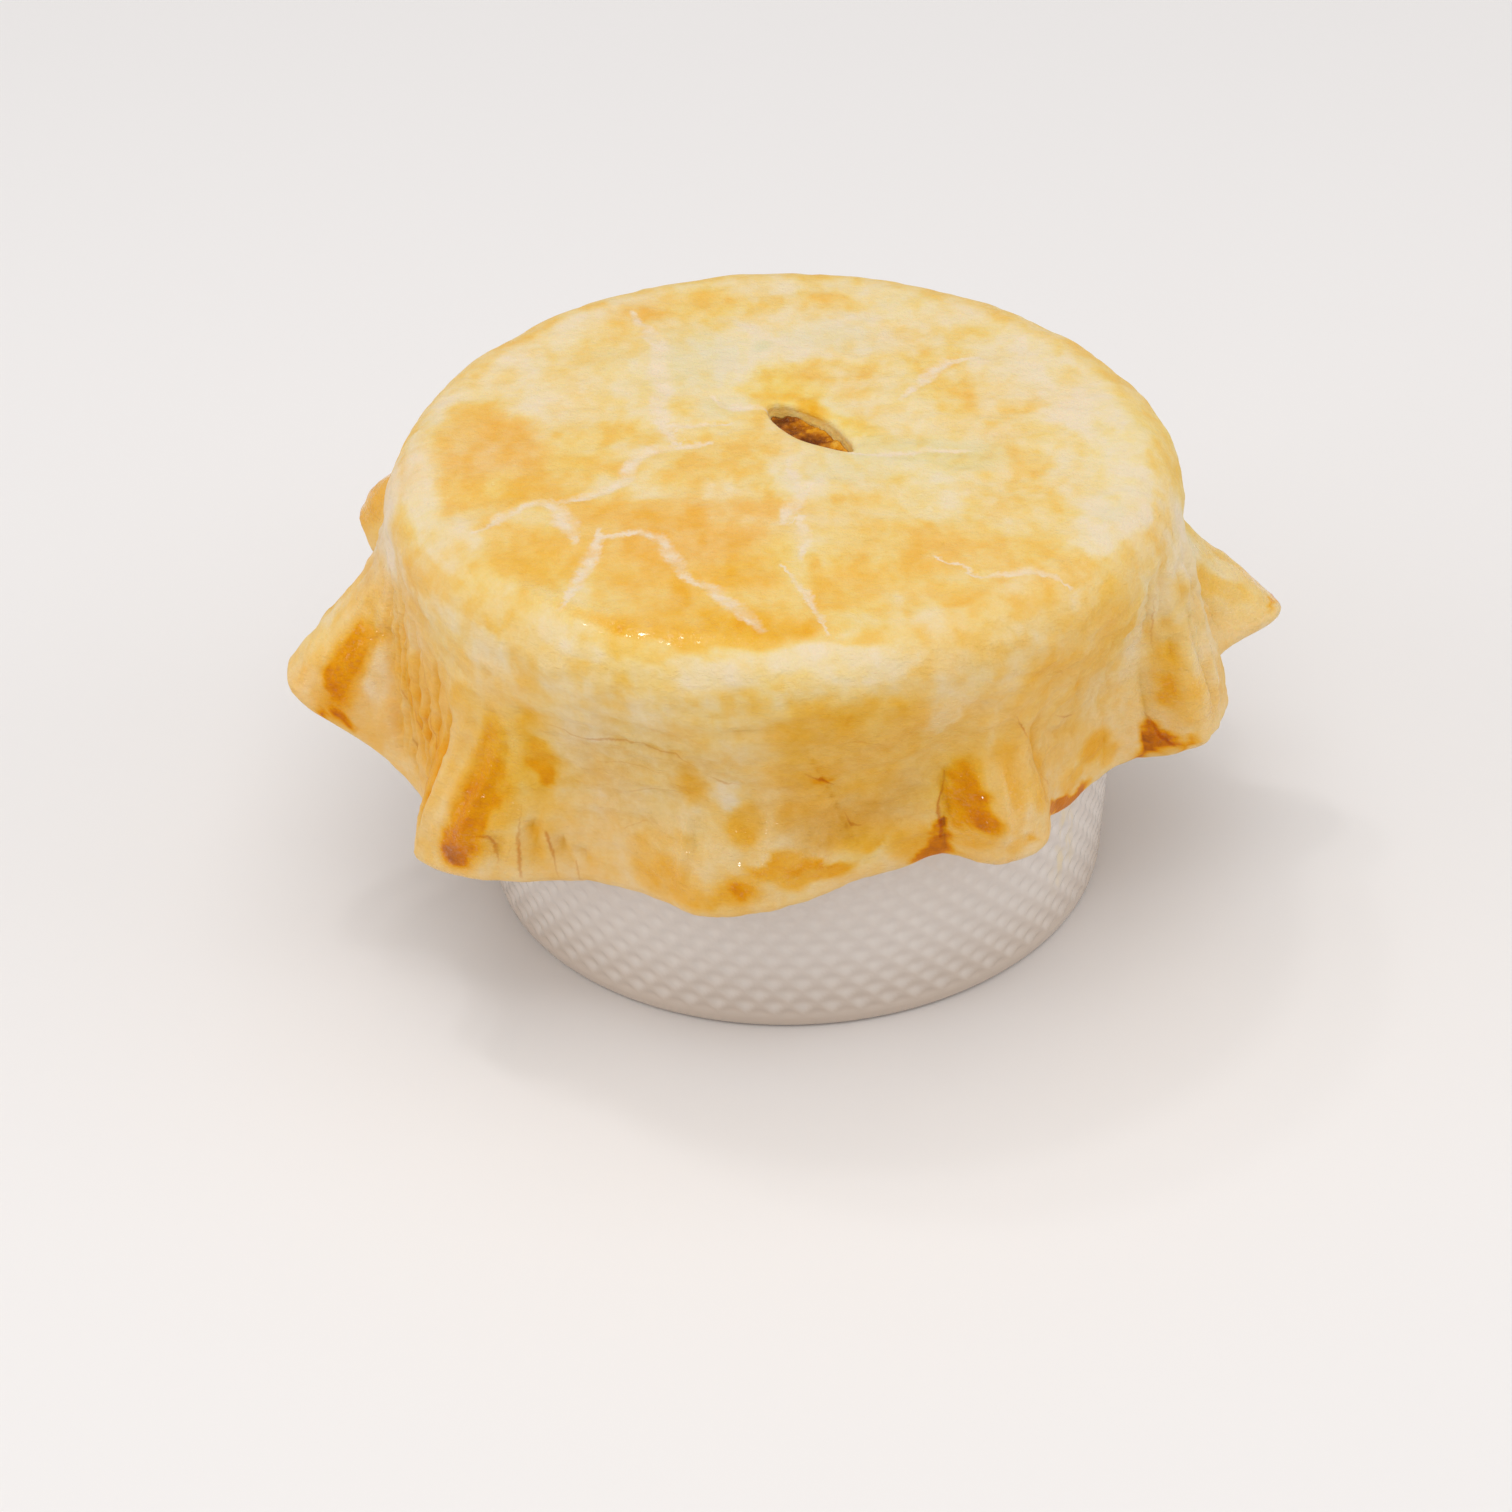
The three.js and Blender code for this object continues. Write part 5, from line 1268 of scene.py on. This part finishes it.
def gravy_material():
    """Wet brown gravy: dark brown in the hollows to orange on the lumps, with painted shade on the slit's
    near side, very glossy.
    """
    material, tree, shader = new_material("wet_gravy")
    level = tree.math("MULTIPLY_ADD", tree.attribute("lump_and_shade"), LUMP_AND_SHADE_SHARE, GRAVY_LEVEL)
    level = tree.math("MULTIPLY_ADD", tree.uneven(900.0, detail=3.0), GRAVY_MOTTLING, level, clamp=True)
    tree.feed(shader, {
        "Base Color": tree.ramp(level, GRAVY_COLOURS),
        "Roughness": tree.spread(tree.uneven(800.0), -0.2, 0.2, to_low=0.1, to_high=0.3),
        "Specular IOR Level": 0.35,
        "Specular Tint": GRAVY_SHINE,
        "Normal": tree.relief(1300.0, 3000.0, 0.2, strength=0.6, depth=0.0004),
    })
    return material


def floor_material():
    """A pale, even studio surface with hardly any shine."""
    material, tree, shader = new_material("studio_floor")
    tree.feed(shader, {"Base Color": FLOOR_COLOUR, "Roughness": FLOOR_ROUGHNESS})
    return material


# ---- the stage ----

FLOOR_HALF = 4000.0
FLOOR_COLOUR, FLOOR_ROUGHNESS = (0.85, 0.825, 0.815), 0.6
SURROUND_COLOUR, SURROUND_STRENGTH = (1.0, 0.99, 0.985, 1.0), 0.49
# Soft lamps above, in front and on both sides, and small ones for the glints: name, side, power and place.
LAMPS = (
    ("above", 1.2, 4.95, (0.0, 0.0, 1.2)),
    ("front_top", 0.9, 2.15, (0.0, -0.7, 1.0)),
    ("left_side", 0.9, 2.6, (-1.1, -0.2, 0.5)),
    ("right_side", 0.9, 2.85, (1.1, -0.2, 0.5)),
    ("glints", 0.08, 0.5, (-0.2, 0.24, 1.0)),
    ("left_glints", 0.07, 0.4, (-0.36, 0.4, 1.0)),
    ("low_glints", 0.06, 0.3, (-0.15, -1.0, 0.13)),
    ("low_left_glints", 0.06, 0.3, (-0.9, -0.5, 0.19)),
)
LIT_POINT = (0.0, 0.0, 0.05)

CAMERA_DISTANCE = 670.3
CAMERA_ELEVATION = 36.365
CAMERA_PAN = 0.54
CAMERA_TILT = 1.2075
CAMERA_ROLL = 2.0774
CAMERA_LENS = 95.24


def make_floor():
    """A wide flat floor at the foot of the dish."""
    points = FLOOR_HALF * np.array([(-1.0, -1.0, 0.0), (1.0, -1.0, 0.0), (1.0, 1.0, 0.0), (-1.0, 1.0, 0.0)])
    floor = mesh_piece("studio_floor", points, [np.array([[0, 1, 2, 3]])], {})
    floor.data.materials.append(floor_material())


def make_lights():
    """An even white surround, and the square lamps, which all face one point on the pie's axis."""
    world = bpy.data.worlds.new("studio")
    world.use_nodes = True
    world.node_tree.nodes["Background"].inputs["Color"].default_value = SURROUND_COLOUR
    world.node_tree.nodes["Background"].inputs["Strength"].default_value = SURROUND_STRENGTH
    bpy.context.scene.world = world
    for name, side, power, place in LAMPS:
        lamp = bpy.data.lights.new(name, "AREA")
        lamp.size, lamp.energy = side, power
        light = bpy.data.objects.new(name, lamp)
        light.location = place
        light.rotation_mode = "QUATERNION"
        light.rotation_quaternion = (Vector(LIT_POINT) - Vector(place)).to_track_quat("-Z", "Y")
        bpy.context.scene.collection.objects.link(light)


def make_camera():
    """A long lens at the front, looking down on the pie; panned and tilted a little off the dish's foot."""
    lens = bpy.data.cameras.new("camera")
    lens.lens = CAMERA_LENS
    camera = bpy.data.objects.new("camera", lens)
    elevation, pan, tilt, roll = np.radians([CAMERA_ELEVATION, CAMERA_PAN, CAMERA_TILT, CAMERA_ROLL])
    right = Vector((1.0, 0.0, 0.0))
    up = Vector((0.0, np.sin(elevation), np.cos(elevation)))
    forward = Vector((0.0, np.cos(elevation), -np.sin(elevation)))
    place = -forward * CAMERA_DISTANCE * MM
    right, forward = np.cos(pan) * right + np.sin(pan) * forward, np.cos(pan) * forward - np.sin(pan) * right
    up, forward = np.cos(tilt) * up - np.sin(tilt) * forward, np.sin(tilt) * up + np.cos(tilt) * forward
    right, up = np.cos(roll) * right - np.sin(roll) * up, np.sin(roll) * right + np.cos(roll) * up
    turn = Matrix((right, up, -forward)).transposed()
    camera.matrix_world = Matrix.Translation(place) @ turn.to_4x4()
    bpy.context.scene.collection.objects.link(camera)
    bpy.context.scene.camera = camera


# ---- putting it together ----

def finish_piece(piece, node, material):
    """Stands a piece in for its solid: its material, its body, and the solid hidden."""
    piece.data.materials.append(material)
    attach(piece, "root")
    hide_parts(node)


make_uneven_group()
make_relief_group()
finish_piece(make_crust(), "crust", pastry_material())
finish_piece(make_dish(), "dish", porcelain_material())
finish_piece(make_filling(), "filling", gravy_material())
make_floor()
make_lights()
make_camera()
bpy.context.scene.view_settings.view_transform = "Standard"
